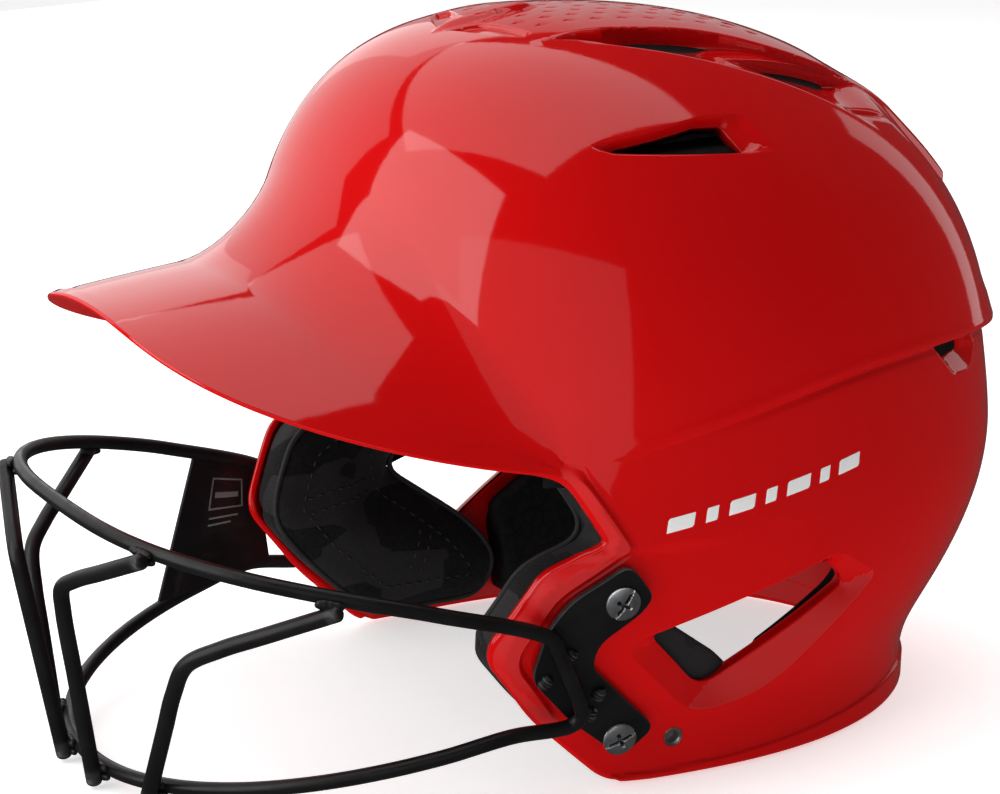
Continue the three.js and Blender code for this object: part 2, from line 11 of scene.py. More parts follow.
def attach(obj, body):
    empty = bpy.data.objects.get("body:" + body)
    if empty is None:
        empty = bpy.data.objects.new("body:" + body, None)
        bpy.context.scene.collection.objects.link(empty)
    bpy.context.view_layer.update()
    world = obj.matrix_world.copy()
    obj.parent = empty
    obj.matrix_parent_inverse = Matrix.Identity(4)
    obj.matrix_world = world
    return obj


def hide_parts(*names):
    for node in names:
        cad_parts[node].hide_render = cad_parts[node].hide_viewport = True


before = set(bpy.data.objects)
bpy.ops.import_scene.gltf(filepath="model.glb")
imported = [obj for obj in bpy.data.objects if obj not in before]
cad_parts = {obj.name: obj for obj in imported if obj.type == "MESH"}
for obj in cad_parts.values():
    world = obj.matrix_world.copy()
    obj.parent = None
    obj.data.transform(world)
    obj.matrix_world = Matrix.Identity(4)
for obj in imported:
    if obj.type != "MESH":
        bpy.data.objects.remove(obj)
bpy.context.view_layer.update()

# Shapes are worked out in millimetres, with y measured from the ear line.
MM = 0.001
EAR_LINE_Y = 23.22
PI = math.pi


def metres(points):
    """Millimetres about the ear line to metres in the row frame."""
    points = np.asarray(points, float)
    return (points + [0.0, EAR_LINE_Y, 0.0]) * MM


# ---- Camera -----------------------------------------------------------------------------------------
AZIMUTH = math.radians(61.5)
ELEVATION = math.radians(15.0)
CAMERA_DISTANCE = 1.020
CAMERA_TARGET = Vector((0.0, -0.00728, 0.1003))


def make_camera():
    data = bpy.data.cameras.new("camera")
    data.lens = 115.2
    camera = bpy.data.objects.new("camera", data)
    bpy.context.scene.collection.objects.link(camera)
    back = Vector((
        math.sin(AZIMUTH) * math.cos(ELEVATION),
        -math.cos(AZIMUTH) * math.cos(ELEVATION),
        math.sin(ELEVATION),
    ))
    camera.location = CAMERA_TARGET + back * CAMERA_DISTANCE
    camera.rotation_mode = "QUATERNION"
    camera.rotation_quaternion = (-back).to_track_quat("-Z", "Y")
    bpy.context.scene.camera = camera


make_camera()

# ---- Helmet surface: the CAD's own formulas, apart from the bill --------------------------------------
HALF_WIDTH = 109.0
FRONT_HALF = 106.0
FLAP_HALF = 157.0
REAR_HALF = 144.0
EQUATOR_Z = 91.0
DOME_RISE = 132.5
WALL_DROP = 89.0
PLAN_POWER = 2.05
CROWN_POWER = 2.42
CROWN_POWER_FRONT = 0.07
CROWN_SHIFT = -15.0
SIDE_TAPER = 0.29
REAR_TAPER = 0.36
TAPER_LIMIT = 0.62
TAPER_SHARPNESS = 12.0
FLAP_BLEND_TOP_Z = 120.0
FLAP_BLEND_LOW_Z = 64.0
SHELL_THICKNESS = 3.6

STEP_CREST_Z = 125.3
STEP_FALL = 13.0
STEP_CREST_ANGLE = math.radians(120)
STEP_DEPTH = 3.0
STEP_FADE = (math.radians(88), math.radians(150))

BILL_HALF_WIDTH = 95.3
BILL_CORNER_Y = -61.0
BILL_CORNER_Z = 104.0
BILL_CORNER_ANGLE = math.radians(57.44)
BILL_REACH = 108.4
BILL_TIP_Z = 147.1
BILL_SIDE_POWER = 3.75
BILL_FRONT_POWER = 1.215
BILL_ARCH_POWER = 2.25
BILL_SLOPE = 0.138
BILL_SAG = 0.00034


def smoothstep(low, high, value):
    t = np.clip((np.asarray(value, float) - low) / (high - low), 0.0, 1.0)
    return t * t * (3 - 2 * t)


def around_head(angle):
    return PI - np.abs(np.mod(angle, 2 * PI) - PI)


def step_height(angle):
    past = around_head(angle) - STEP_CREST_ANGLE
    return STEP_CREST_Z - STEP_FALL * (1 - np.cos(np.where(past < 0, 2.0, 1.5) * past))


def step_depth(angle):
    return STEP_DEPTH * smoothstep(*STEP_FADE, around_head(angle))


def shell_point(angle, z, inset=0.0):
    """The helmet's surface at an angle from straight ahead and a height, moved in by inset."""
    angle, z = np.broadcast_arrays(np.asarray(angle, float), np.asarray(z, float))
    rise = DOME_RISE - inset
    front = FRONT_HALF + (FLAP_HALF - FRONT_HALF) * smoothstep(FLAP_BLEND_TOP_Z, FLAP_BLEND_LOW_Z, z)
    length = (front + REAR_HALF) / 2 + (front - REAR_HALF) / 2 * np.cos(angle) - inset
    width = HALF_WIDTH - inset
    across = (np.abs(np.sin(angle)) / width) ** PLAN_POWER
    along = (np.abs(np.cos(angle)) / length) ** PLAN_POWER
    reach = (across + along) ** (-1 / PLAN_POWER)
    power = CROWN_POWER + CROWN_POWER_FRONT * np.cos(angle)
    height = np.clip((z - EQUATOR_Z) / rise, 0.0, 1.0)
    spread = (1 - height**power) ** (1 / power)
    drop = np.maximum((EQUATOR_Z - z) / WALL_DROP, 0.0)
    limit = math.exp(-TAPER_SHARPNESS * TAPER_LIMIT)
    taper = (math.log(1 + limit) - np.log(np.exp(-TAPER_SHARPNESS * drop * drop) + limit)) / TAPER_SHARPNESS
    rear_taper = REAR_TAPER * (1 - np.cos(angle)) / 2
    return np.stack([
        (1 - SIDE_TAPER * taper) * spread * reach * np.sin(angle),
        -(1 - rear_taper * taper) * spread * reach * np.cos(angle) + CROWN_SHIFT * height * height,
        z,
    ], -1)


# The surface is laid out flat to be meshed: round the crown in a plane whose scale grows outwards so that
# angles stay true. "way" runs down a meridian: the tilt from the apex, then the wall below the equator.
WALL_SCALE = 100.0


def way_of(z):
    part = np.clip((z - EQUATOR_Z) / DOME_RISE, 0.0, 1.0) ** (CROWN_POWER / 2)
    return np.arccos(part) + np.maximum(EQUATOR_Z - z, 0.0) / WALL_SCALE


def height_of(way):
    cap = EQUATOR_Z + DOME_RISE * np.cos(np.clip(way, 0.0, PI / 2)) ** (2 / CROWN_POWER)
    return cap - WALL_SCALE * np.maximum(way - PI / 2, 0.0)


def flat_scale_table():
    way = np.concatenate([np.linspace(0, PI / 2, 1500), PI / 2 + np.linspace(0.003, 1.05, 300)])
    z = height_of(way)
    side = shell_point(PI / 2, z)
    half_length = (shell_point(PI, z)[:, 1] - shell_point(0.0, z)[:, 1]) / 2
    radius = (side[:, 0] + half_length) / 2
    path = np.concatenate([[0.0], np.cumsum(np.linalg.norm(np.diff(side, axis=0), axis=1))])
    start = 6
    growth = np.diff(path[start:]) * 2 / (radius[start:-1] + radius[start + 1 :])
    flat = np.concatenate([path[: start + 1], path[start] * np.exp(np.cumsum(growth))])
    return way, flat, path


WAY, FLAT, PATH = flat_scale_table()


def flat_of(angle, z):
    radius = np.interp(way_of(z), WAY, FLAT)
    return np.stack([radius * np.sin(angle), -radius * np.cos(angle)], -1)


def place(flat):
    angle = np.arctan2(flat[:, 0], -flat[:, 1])
    z = height_of(np.interp(np.hypot(flat[:, 0], flat[:, 1]), FLAT, WAY))
    return shell_point(angle, z)


def unit(vectors):
    return vectors / np.maximum(np.linalg.norm(vectors, axis=-1, keepdims=True), 1e-12)


def slopes(function, flat):
    """The two tangents of a surface given over the flat layout."""
    step = (2e-4 * np.hypot(flat[:, 0], flat[:, 1]) + 2e-3)[:, None]
    along = function(flat + step * [1, 0]) - function(flat - step * [1, 0])
    across = function(flat + step * [0, 1]) - function(flat - step * [0, 1])
    return along, across


def base_normal(flat):
    return unit(np.cross(*slopes(place, flat)))


# ---- Faces, as lists of vertex numbers ---------------------------------------------------------------
def grid_quads(index):
    return np.stack([index[:-1, :-1], index[1:, :-1], index[1:, 1:], index[:-1, 1:]], -1).reshape(-1, 4)


def ring_quads(rings):
    """Faces between each closed ring of vertices and the next."""
    faces = []
    for p, q in zip(rings, rings[1:]):
        faces.extend(np.stack([p, q, np.roll(q, -1), np.roll(p, -1)], -1).tolist())
    return faces


def tube_quads(rings, following):
    """Faces between rings and the rings that follow them, turned the other way."""
    faces = []
    for a, b in zip(rings, following):
        faces.extend(np.stack([a, np.roll(a, -1), np.roll(b, -1), b], -1).tolist())
    return faces


def turned_over(faces, first):
    """The same faces seen from behind, on vertices numbered from first."""
    return [[k + first for k in reversed(face)] for face in faces]


def slab_faces(columns, rows):
    """A closed slab between two grids of points."""
    index = np.arange(columns * rows).reshape(columns, rows)
    quads = grid_quads(index)
    ring = np.concatenate([index[:-1, 0], index[-1, :-1], index[:0:-1, -1], index[0, :0:-1]])
    sides = np.stack([ring, ring + index.size, np.roll(ring, -1) + index.size, np.roll(ring, -1)], -1)
    return quads.tolist() + (quads[:, ::-1] + index.size).tolist() + sides.tolist()


# ---- Outlines ---------------------------------------------------------------------------------------
def rounded(corners, spacing, closed=True):
    """A smooth dense line through [a, b, corner radius] points, with its corners rounded."""
    points = []
    count = len(corners)
    for i, (a, b, wanted) in enumerate(corners):
        corner = np.array([a, b], float)
        if wanted == 0 or (not closed and i in (0, count - 1)):
            points.append(corner)
            continue
        before = np.array(corners[i - 1][:2]) - corner
        after = np.array(corners[(i + 1) % count][:2]) - corner
        radius = min(wanted, 0.45 * np.linalg.norm(before), 0.45 * np.linalg.norm(after))
        start = corner + unit(before) * radius
        end = corner + unit(after) * radius
        t = np.linspace(0, 1, max(3, round(2.2 * radius / spacing)))[:, None]
        points.extend((1 - t) ** 2 * start + 2 * t * (1 - t) * corner + t * t * end)
    if closed:
        points.append(points[0])
    line = [points[0]]
    for p, q in zip(points, points[1:]):
        steps = max(1, round(np.linalg.norm(q - p) / spacing))
        line.extend(p + (q - p) * (k + 1) / steps for k in range(steps))
    return np.array(line[:-1] if closed else line)


def flat_from_side(line):
    """Side-view points [y, z] on the wearer's left, laid out flat."""
    y, z = line[:, 0], line[:, 1]
    low = np.full(len(y), 0.3)
    high = np.full(len(y), PI)
    for _ in range(45):
        middle = (low + high) / 2
        ahead = shell_point(middle, z)[:, 1] < y
        low = np.where(ahead, middle, low)
        high = np.where(ahead, high, middle)
    return flat_of(low, z)


def flat_from_top(line):
    """Plan-view points [x, y] of the crown, laid out flat by Newton steps."""
    target = np.asarray(line, float)
    flat = target - [0, CROWN_SHIFT]
    for _ in range(25):
        along, across = slopes(place, flat)
        step = 2 * (2e-4 * np.hypot(flat[:, 0], flat[:, 1]) + 2e-3)[:, None]
        a, b = along[:, :2] / step, across[:, :2] / step
        error = target - place(flat)[:, :2]
        size = a[:, 0] * b[:, 1] - a[:, 1] * b[:, 0]
        move_x = (error[:, 0] * b[:, 1] - error[:, 1] * b[:, 0]) / size
        move_y = (a[:, 0] * error[:, 1] - a[:, 1] * error[:, 0]) / size
        move = np.stack([move_x, move_y], -1)
        longest = np.maximum(np.linalg.norm(move, axis=1, keepdims=True) / 12.0, 1.0)
        flat = flat + move / longest
    return flat


class Line:
    """A line on the helmet: its points laid out flat and in space."""

    def __init__(self, flat, closed):
        self.flat = flat
        self.points = place(flat)
        self.closed = closed

    def looped(self, points):
        return np.concatenate([points, points[:1]]) if self.closed else points

    def distance(self, points, reach):
        """Distance from each point in space to the line, at most reach."""
        line = self.looped(self.points)
        result = np.full(len(points), float(reach))
        near = np.all((points > line.min(0) - reach) & (points < line.max(0) + reach), axis=1)
        found = np.flatnonzero(near)
        start, run = line[:-1], np.diff(line, axis=0)
        squares = (run * run).sum(1)
        for k in range(0, len(found), 2000):
            part = found[k : k + 2000]
            offset = points[part][:, None] - start
            t = np.clip((offset * run).sum(-1) / squares, 0, 1)
            gap = np.linalg.norm(offset - t[..., None] * run, axis=-1).min(1)
            result[part] = np.minimum(gap, reach)
        return result

    def holds(self, flat):
        """Whether each flat point lies inside the closed line."""
        result = np.zeros(len(flat), bool)
        low, high = self.flat.min(0), self.flat.max(0)
        found = np.flatnonzero(np.all((flat > low) & (flat < high), axis=1))
        a = self.flat
        b = np.roll(a, -1, axis=0)
        for k in range(0, len(found), 4000):
            part = found[k : k + 4000]
            x, y = flat[part, 0][:, None], flat[part, 1][:, None]
            spans = (a[:, 1] > y) != (b[:, 1] > y)
            with np.errstate(divide="ignore", invalid="ignore"):
                cross = a[:, 0] + (y - a[:, 1]) / (b[:, 1] - a[:, 1]) * (b[:, 0] - a[:, 0])
            result[part] = (spans & (x < cross)).sum(1) % 2 == 1
        return result


def side_line(corners, spacing=1.3, closed=True):
    return Line(flat_from_side(rounded(corners, spacing, closed)), closed)


def top_line(corners, spacing=1.3, closed=True):
    return Line(flat_from_top(rounded(corners, spacing, closed)), closed)


# Outlines in the side view, [y, z, corner radius].
OPENING_EDGE = [
    [BILL_CORNER_Y - 0.4, BILL_CORNER_Z, 0],
    [-49.0, 82.2, 3.5],
    [-68.3, 73.0, 4],
    [-82.0, 47.5, 6.5],
    [-64.8, 25.6, 6],
    [-39.5, 2.4, 7],
    [-26.0, 1.8, 0],
]
BEAD_EDGE = [
    [-66.0, 109.5, 0],
    [-57.4, 104.9, 3],
    [-42.6, 80.6, 2.2],
    [-64.0, 66.5, 5],
    [-73.8, 46.5, 6],
    [-61.5, 30.0, 4],
    [-56.0, 22.0, 0],
]
# Closes the bead's line into an area, ahead of the face opening.
BEAD_FRONT = [[-100.0, 22.0, 0], [-100.0, 112.0, 0], [-62.0, 112.0, 0]]
OPENING_FRONT = [[-100.0, 1.8, 0], [-100.0, 112.0, 0], [-62.0, 112.0, 0]]
EAR_HOLE = [[-33, 48.5, 6], [29.5, 64.6, 5], [39.8, 53.8, 4], [-10, 25.0, 8]]
EAR_BEVEL = [[-43, 48.5, 9], [29.5, 69.0, 6], [49.5, 56.8, 5], [13, 23.5, 14], [-13.5, 19.6, 9]]
VENT_HOLE = [
    [-37.4, 193.1, 0.6], [-33, 195.0, 1], [-4, 199.0, 1], [6.0, 198.5, 1], [10.4, 190.5, 0.8],
    [-35, 192.7, 0.8],
]
VENT_EDGE = [
    [-41, 194.2, 0.8], [-37, 195.6, 1.5], [-3, 199.6, 2], [12.5, 199.0, 1.5], [20.8, 188.4, 1],
    [-35, 192.2, 1],
]
REAR_HOLE = [[79.3, 122.3, 0.8], [87, 117.8, 1.5], [100.3, 118.0, 1.2], [99.6, 122.6, 1]]
REAR_EDGE = [
    [76.6, 124.4, 0.6], [80.6, 119.6, 2], [89.5, 111.9, 1.2], [102.5, 111.2, 3], [107.5, 116.2, 2],
    [105.5, 122.0, 1],
]
# Outlines of the crown in plan, [x, y, corner radius].
CROWN_SLOTS = [
    [[34.4, -8.5, 1.0], [37.0, -10.2, 1.0], [38.8, 8.5, 1.0], [34.4, 13.0, 1.0]],
    [[40.8, 51.0, 1.2], [43.2, 50.4, 1.2], [37.2, 74.6, 1.2], [33.8, 73.8, 1.2]],
]
DECK = [
    [3, -51, 1], [13, -48, 1], [20, -45, 1], [29, -38, 1], [27, -34, 1], [14, -38, 2], [8, -40, 2],
    [5.5, -44, 1],
]
SCREW_PLACES = [(-46.1, 65.5), (-38.5, 17.2)]
STRAP_PLACE = (-19.1, 13.0)
NUT_HOLE_RADIUS = 4.4
STRAP_HOLE_RADIUS = 3.5


def flat_step(flat):
    return (2e-4 * np.hypot(flat[:, 0], flat[:, 1]) + 2e-3)[:, None]


def stretch(flat):
    """Millimetres on the surface for one unit of the flat layout."""
    along, across = slopes(place, flat)
    length = (np.linalg.norm(along, axis=1) + np.linalg.norm(across, axis=1)) / 2
    return length[:, None] / (2 * flat_step(flat))


def round_hole(y, z, radius):
    centre = flat_from_side(np.array([[y, z]]))
    turn = np.linspace(0, 2 * PI, 25)[:-1]
    ring = np.stack([np.cos(turn), np.sin(turn)], -1)
    return Line(centre + ring * radius / stretch(centre), True)


opening_edge = side_line(OPENING_EDGE, closed=False)
opening_region = side_line(OPENING_EDGE + OPENING_FRONT)
bead_edge = side_line(BEAD_EDGE, 1.1, closed=False)
bead_region = side_line(BEAD_EDGE + BEAD_FRONT, 1.1)
ear_hole = side_line(EAR_HOLE)
ear_bevel = side_line(EAR_BEVEL, 1.6)
vent_hole = side_line(VENT_HOLE, 1.0)
vent_edge = side_line(VENT_EDGE, 1.2)
rear_hole = side_line(REAR_HOLE, 1.0)
rear_edge = side_line(REAR_EDGE, 1.0)
crown_slots = [top_line(corners, 1.0) for corners in CROWN_SLOTS]
deck_edge = top_line(DECK, 1.2)
nut_holes = [round_hole(y, z, NUT_HOLE_RADIUS) for y, z in SCREW_PLACES]
strap_hole = round_hole(*STRAP_PLACE, STRAP_HOLE_RADIUS)

# ---- Moulded relief of the shell --------------------------------------------------------------------
SEAM_START = (math.radians(62), math.radians(84))
SEAM_GROOVE_START = (math.radians(76), math.radians(112))
BEAD_HEIGHT = 1.8
BILL_CORNER = np.array([BILL_HALF_WIDTH, BILL_CORNER_Y - 0.4, BILL_CORNER_Z])
EAR_BEVEL_DEPTH = 4.2
# The ear opening's lower edge in the side view: its z at y = 0, and its slope.
EAR_LOW_LINE = (31.3, 0.578)
PERFORATION_ROWS_X = (3.4, 9.8, 16.2, 22.6)
PERFORATION_PITCH = 9.4
PERFORATION_LONG = 2.7
PERFORATION_WIDE = 1.35
PERFORATION_DEPTH = 1.2
SPINE_START_Y = -33.0
SPINE_END_Y = 60.0


def bump(value, width):
    return np.exp(-((value / width) ** 2))


def seam_relief(angle, z):
    below = step_height(angle) - z
    start = smoothstep(*SEAM_START, angle)
    lip = 0.35 * start * bump(below + 1.6, 1.6)
    drop = step_depth(angle) * smoothstep(0, 1.5, below)
    front_drop = 0.8 * start * smoothstep(0, 1.3, below) * (1 - smoothstep(6, 38, below))
    groove = 0.7 * smoothstep(*SEAM_GROOVE_START, angle) * bump(below - 1.9, 1.2)
    return lip - drop - front_drop - groove


def bead_relief(flat, points):
    gap = bead_edge.distance(points, 14.0)
    inward = np.where(bead_region.holds(flat), gap, -gap)
    raised = BEAD_HEIGHT * smoothstep(-0.2, 0.9, inward)
    groove = 0.45 * bump(inward + 0.9, 0.9)
    from_edge = opening_edge.distance(points, 5.0) * np.where(opening_region.holds(flat), -1, 1)
    chamfer = 1.7 * np.clip(1 - from_edge / 2.8, 0, 2)
    start = smoothstep(0.0, 3.0, np.linalg.norm(points - BILL_CORNER, axis=1))
    return start * smoothstep(20, 36, points[:, 2]) * (raised - groove - chamfer)


def bevel(flat, points, hole, edge, depth, power=1.0):
    """A bevel from an outer edge down to a hole inside it."""
    to_hole = hole.distance(points, 40.0)
    to_hole = np.where(hole.holds(flat), -to_hole, to_hole)
    to_edge = edge.distance(points, 40.0)
    part = np.maximum(to_edge / (to_edge + to_hole + 1e-6), 0.0)
    return np.where(edge.holds(flat), -depth * part**power, 0.0)


def wall_x(y):
    """The foot of the crown's inner louvre wall, beside the spine."""
    return 32.0 + 1.2 * smoothstep(-10, -35, y) + 2.4 * bump(y - 48, 18) - 3.5 * smoothstep(58, 85, y)


def outer_wall_x(y):
    return 47.3 - 0.215 * (y - 22) - 0.0016 * (y - 22) ** 2


def panel_x(y):
    """Upper edge of the side panel."""
    return 45.3 + 0.29 * y - 0.0022 * y * y


def slit_x(y):
    """The short slit behind the louvres."""
    return 53.3 - 0.33 * (y - 64.2) - 0.007 * (y - 64.2) ** 2


PANEL_CHAMFER = 2.2
LOUVRE_WALL = 0.9


def crown_relief(x, y):
    x = np.abs(x)
    outer = np.minimum(panel_x(y), np.where(y > 21, outer_wall_x(y), 1e3))
    inner_depth = 6.4 * smoothstep(-40, 0, y) * (1 - 0.75 * smoothstep(8, 46, y))
    inner_depth *= 1 - smoothstep(60, 90, y)
    past = x - wall_x(y)
    part = np.clip(past / np.maximum(outer - wall_x(y), 0.5), 0, 1)
    first = inner_depth * smoothstep(0, LOUVRE_WALL, past) * (1 - part)
    spine = 0.7 * smoothstep(-40, -20, y) * (1 - smoothstep(66, 86, y)) * (1 - smoothstep(-0.6, 0.4, past))
    outer_depth = 5.6 * smoothstep(18, 46, y) * (1 - smoothstep(62, 88, y))
    past = x - outer_wall_x(y)
    part = np.clip(past / np.maximum(panel_x(y) - outer_wall_x(y), 0.5), 0, 1)
    second = outer_depth * smoothstep(0, LOUVRE_WALL, past) * (1 - part)
    chamfer = 0.9 * smoothstep(-26, -8, y) * (1 - smoothstep(64, 80, y))
    chamfer *= 1 - np.clip((x - panel_x(y)) / PANEL_CHAMFER, 0, 1)
    slit = 1.2 * smoothstep(58, 72, y) * (1 - smoothstep(74, 90, y)) * bump(x - slit_x(y), 1.1)
    return spine - first - second - np.where(x > wall_x(y), chamfer, 0.0) - slit


def crest_half_width(y):
    return 5.6 * np.sin(PI * np.clip((y + 58) / 42, 0, 1))


def crest_relief(x, y):
    return 2.0 * smoothstep(0, 3.0, crest_half_width(y) - np.abs(x)) * smoothstep(-58, -44, y)


def perforation_centres():
    for row, x in enumerate(PERFORATION_ROWS_X):
        start = SPINE_START_Y + (PERFORATION_PITCH / 2 if row % 2 else 0)
        for k in range(int((SPINE_END_Y - start) / PERFORATION_PITCH)):
            y = start + k * PERFORATION_PITCH
            if x + 3.5 < wall_x(y):
                yield x, y


def perforation_relief(x, y, z):
    result = np.zeros(len(x))
    on_top = z > 190
    for centre_x, centre_y in perforation_centres():
        size = np.abs(x - centre_x) / PERFORATION_WIDE + np.abs(y - centre_y) / PERFORATION_LONG
        result -= np.where(on_top, PERFORATION_DEPTH * (1 - smoothstep(0.62, 1.0, size)), 0.0)
    return result


SPINE_SIDE_WIDTH = 6.5


def spine_half_width(z):
    return 40 - 0.28 * (z - 163)


def spine_tail_relief(x, y, z):
    """The spine's raised band, which ends in a step part of the way down the back."""
    side = smoothstep(0, SPINE_SIDE_WIDTH, spine_half_width(z) - np.abs(x))
    return np.where(y > 40, 1.7 * side * smoothstep(163, 165, z) * (1 - smoothstep(186, 204, z)), 0.0)


def spine_side(z, inward):
    """The side of the spine's raised band, laid out flat; inward in millimetres."""
    low, high = np.full(len(z), PI / 2), np.full(len(z), PI)
    for _ in range(30):
        middle = (low + high) / 2
        outside = shell_point(middle, z)[:, 0] > spine_half_width(z) - inward
        low, high = np.where(outside, middle, low), np.where(outside, high, middle)
    return flat_of(low, z)


def lobe_angle(z):
    """Where the rear panel's edge runs down the back, as an angle from straight ahead."""
    return np.radians(155.0 - 6.0 * smoothstep(186, 152, z))


def lobe_relief(angle, z):
    """The side panel stands proud of the back along a crisp edge that fades towards the crown."""
    gap = (angle - lobe_angle(z)) * 95
    height = smoothstep(124, 132, z) * (1 - smoothstep(178, 194, z))
    return -1.9 * height * smoothstep(0.0, 1.2, gap) * (1 - smoothstep(6, 34, gap))


def rim_height(y):
    return 3.2 + 6.5 * smoothstep(-30, 110, y)


def flap_relief(y, z):
    crease = 80.2 + 0.045 * (y + 42)
    dish = 0.8 * smoothstep(0, 2.2, crease - z) * (1 - smoothstep(8, 50, crease - z))
    rim = 1.1 * smoothstep(-0.1, 0.9, rim_height(y) - z)
    return rim - dish * (1 - smoothstep(-10, 25, y))


def relief(flat):
    """How far the moulded shell stands out from the plain surface, in millimetres."""
    points = place(flat)
    x, y, z = points.T
    angle = around_head(np.arctan2(flat[:, 0], -flat[:, 1]))
    return (
        seam_relief(angle, z)
        + bead_relief(flat, points)
        + bevel(flat, points, ear_hole, ear_bevel, EAR_BEVEL_DEPTH)
        + bevel(flat, points, vent_hole, vent_edge, 3.0)
        + bevel(flat, points, rear_hole, rear_edge, 4.0)
        + np.where(z > 170, crown_relief(x, y), 0.0)
        + np.where(z > 190, crest_relief(x, y), 0.0)
        + perforation_relief(x, y, z)
        + spine_tail_relief(x, y, z)
        + lobe_relief(angle, z)
        + flap_relief(y, z)
        - np.where(deck_edge.holds(flat), 1.5 * smoothstep(0, 1.2, deck_edge.distance(points, 3.0)), 0.0)
    )


def moulded(flat):
    return place(flat) + base_normal(flat) * relief(flat)[:, None]


# ---- Bill -------------------------------------------------------------------------------------------
BILL_FILLET = 27.0
BILL_COLUMNS = 72
BILL_END = 0.985
BILL_THINNING = 1.9
FILLET_ROWS = 10
FLAT_ROWS = 16


def bill_edge(u):
    x = BILL_HALF_WIDTH * np.sin(u * PI / 2)
    q = np.minimum(np.abs(x) / BILL_HALF_WIDTH, 1.0)
    y = BILL_CORNER_Y - BILL_REACH * (1 - q**BILL_SIDE_POWER) ** (1 / BILL_FRONT_POWER)
    z = BILL_TIP_Z - (BILL_TIP_Z - BILL_CORNER_Z) * q**BILL_ARCH_POWER
    return np.stack([x, y, z], -1)


def bill_height(x, y):
    q = np.minimum(np.abs(x) / BILL_HALF_WIDTH, 1.0)
    edge_y = BILL_CORNER_Y - BILL_REACH * (1 - q**BILL_SIDE_POWER) ** (1 / BILL_FRONT_POWER)
    edge_z = BILL_TIP_Z - (BILL_TIP_Z - BILL_CORNER_Z) * q**BILL_ARCH_POWER
    back = y - edge_y
    return edge_z + BILL_SLOPE * back - BILL_SAG * back * back


def bill_foot(u):
    angle = BILL_CORNER_ANGLE * u
    z = np.full(len(u), BILL_TIP_Z)
    for _ in range(14):
        p = shell_point(angle, z)
        z = bill_height(p[:, 0], p[:, 1])
    return shell_point(angle, z)


def fillet_rise(u):
    return BILL_FILLET - 14.0 * smoothstep(0.45, 1.0, u)


def fillet_start(u):
    return BILL_CORNER_ANGLE * u, bill_foot(u)[:, 2] + fillet_rise(u)


def bill_top(u, v):
    """Points of the bill's top, from the dome (v = 0) through a fillet (v = 0.5) to its edge (v = 1)."""
    edge, foot = bill_edge(u), bill_foot(u)
    width = np.linalg.norm((edge - foot)[:, :2], axis=1)
    landing = 0.7 * width
    landing = BILL_FILLET - np.logaddexp(0.0, (BILL_FILLET - landing) / 2.5) * 2.5

    def on_bill(part):
        p = foot + (edge - foot) * part[:, None]
        return np.stack([p[:, 0], p[:, 1], bill_height(p[:, 0], p[:, 1])], -1)

    landing = np.maximum(landing, 0.05) / width
    angle, z = fillet_start(u)
    start = shell_point(angle, z)
    down = unit(shell_point(angle, z - 1.0) - start)
    end = on_bill(landing)
    back = unit(on_bill(landing * 0.9) - end)
    a = start + down * 0.55 * fillet_rise(u)[:, None]
    b = end + back * 0.55 * (landing * width)[:, None]
    t = np.clip(v * 2, 0, 1)[:, None]
    fillet = (1 - t) ** 3 * start + 3 * t * (1 - t) ** 2 * a + 3 * t * t * (1 - t) * b + t**3 * end
    outer = on_bill(landing + (1 - landing) * np.clip(v * 2 - 1, 0, 1))
    return np.where(v[:, None] < 0.5, fillet, outer)


def bill_normal(u, v):
    d = 2e-4
    along = bill_top(u + d, v) - bill_top(u - d, v)
    out = bill_top(u, np.minimum(v + d, 1)) - bill_top(u, np.maximum(v - d, 0))
    return unit(np.cross(out, along))


def make_bill_grid():
    columns = np.linspace(0, BILL_END, BILL_COLUMNS + 1)
    fillet = np.linspace(0, 0.5, FILLET_ROWS + 1)
    flat = 1 - 0.5 * (1 - np.linspace(0, 1, FLAT_ROWS + 1)[1:]) ** 1.4
    rows = np.concatenate([fillet, flat])
    u, v = [grid.ravel() for grid in np.meshgrid(columns, rows, indexing="ij")]
    points, normals = bill_top(u, v), bill_normal(u, v)
    to_edge = np.linalg.norm(bill_edge(u) - points, axis=1)
    lift = 0.45 * bump(to_edge - 2.2, 1.6) - 0.25 * bump(to_edge - 5.6, 1.5)
    lift *= smoothstep(0.5, 0.75, v) * (1 - smoothstep(0.9, 0.985, u))
    normals[u == 0, 0] = 0.0
    points += unit(normals) * lift[:, None]
    index = np.arange(len(u)).reshape(len(columns), len(rows))
    quads = np.stack([index[:-1, :-1], index[:-1, 1:], index[1:, 1:], index[1:, :-1]], -1).reshape(-1, 4)
    thickness = SHELL_THICKNESS - BILL_THINNING * smoothstep(15, 2, to_edge) * (1 - smoothstep(0.88, 0.97, u))
    return points, unit(normals), thickness[:, None], quads, index


# ---- Meshing the shell ------------------------------------------------------------------------------
def rows_beside(line, offsets):
    """Rows of flat points beside a line, at offsets in millimetres, left out in tight inner corners."""
    flat = line.flat
    if line.closed:
        run = np.roll(flat, -1, axis=0) - np.roll(flat, 1, axis=0)
    else:
        run = np.gradient(flat, axis=0)
    side = unit(np.stack([-run[:, 1], run[:, 0]], -1))
    scale = stretch(flat)
    for offset in offsets:
        guess = flat + side * offset / scale
        reached = np.linalg.norm(place(guess) - line.points, axis=1)[:, None]
        row = flat + side * offset / scale * abs(offset) / reached
        row = row[line.distance(place(row), abs(offset) + 1) > 0.93 * abs(offset)]
        yield row[:: max(1, round(abs(offset) / 2.4))]


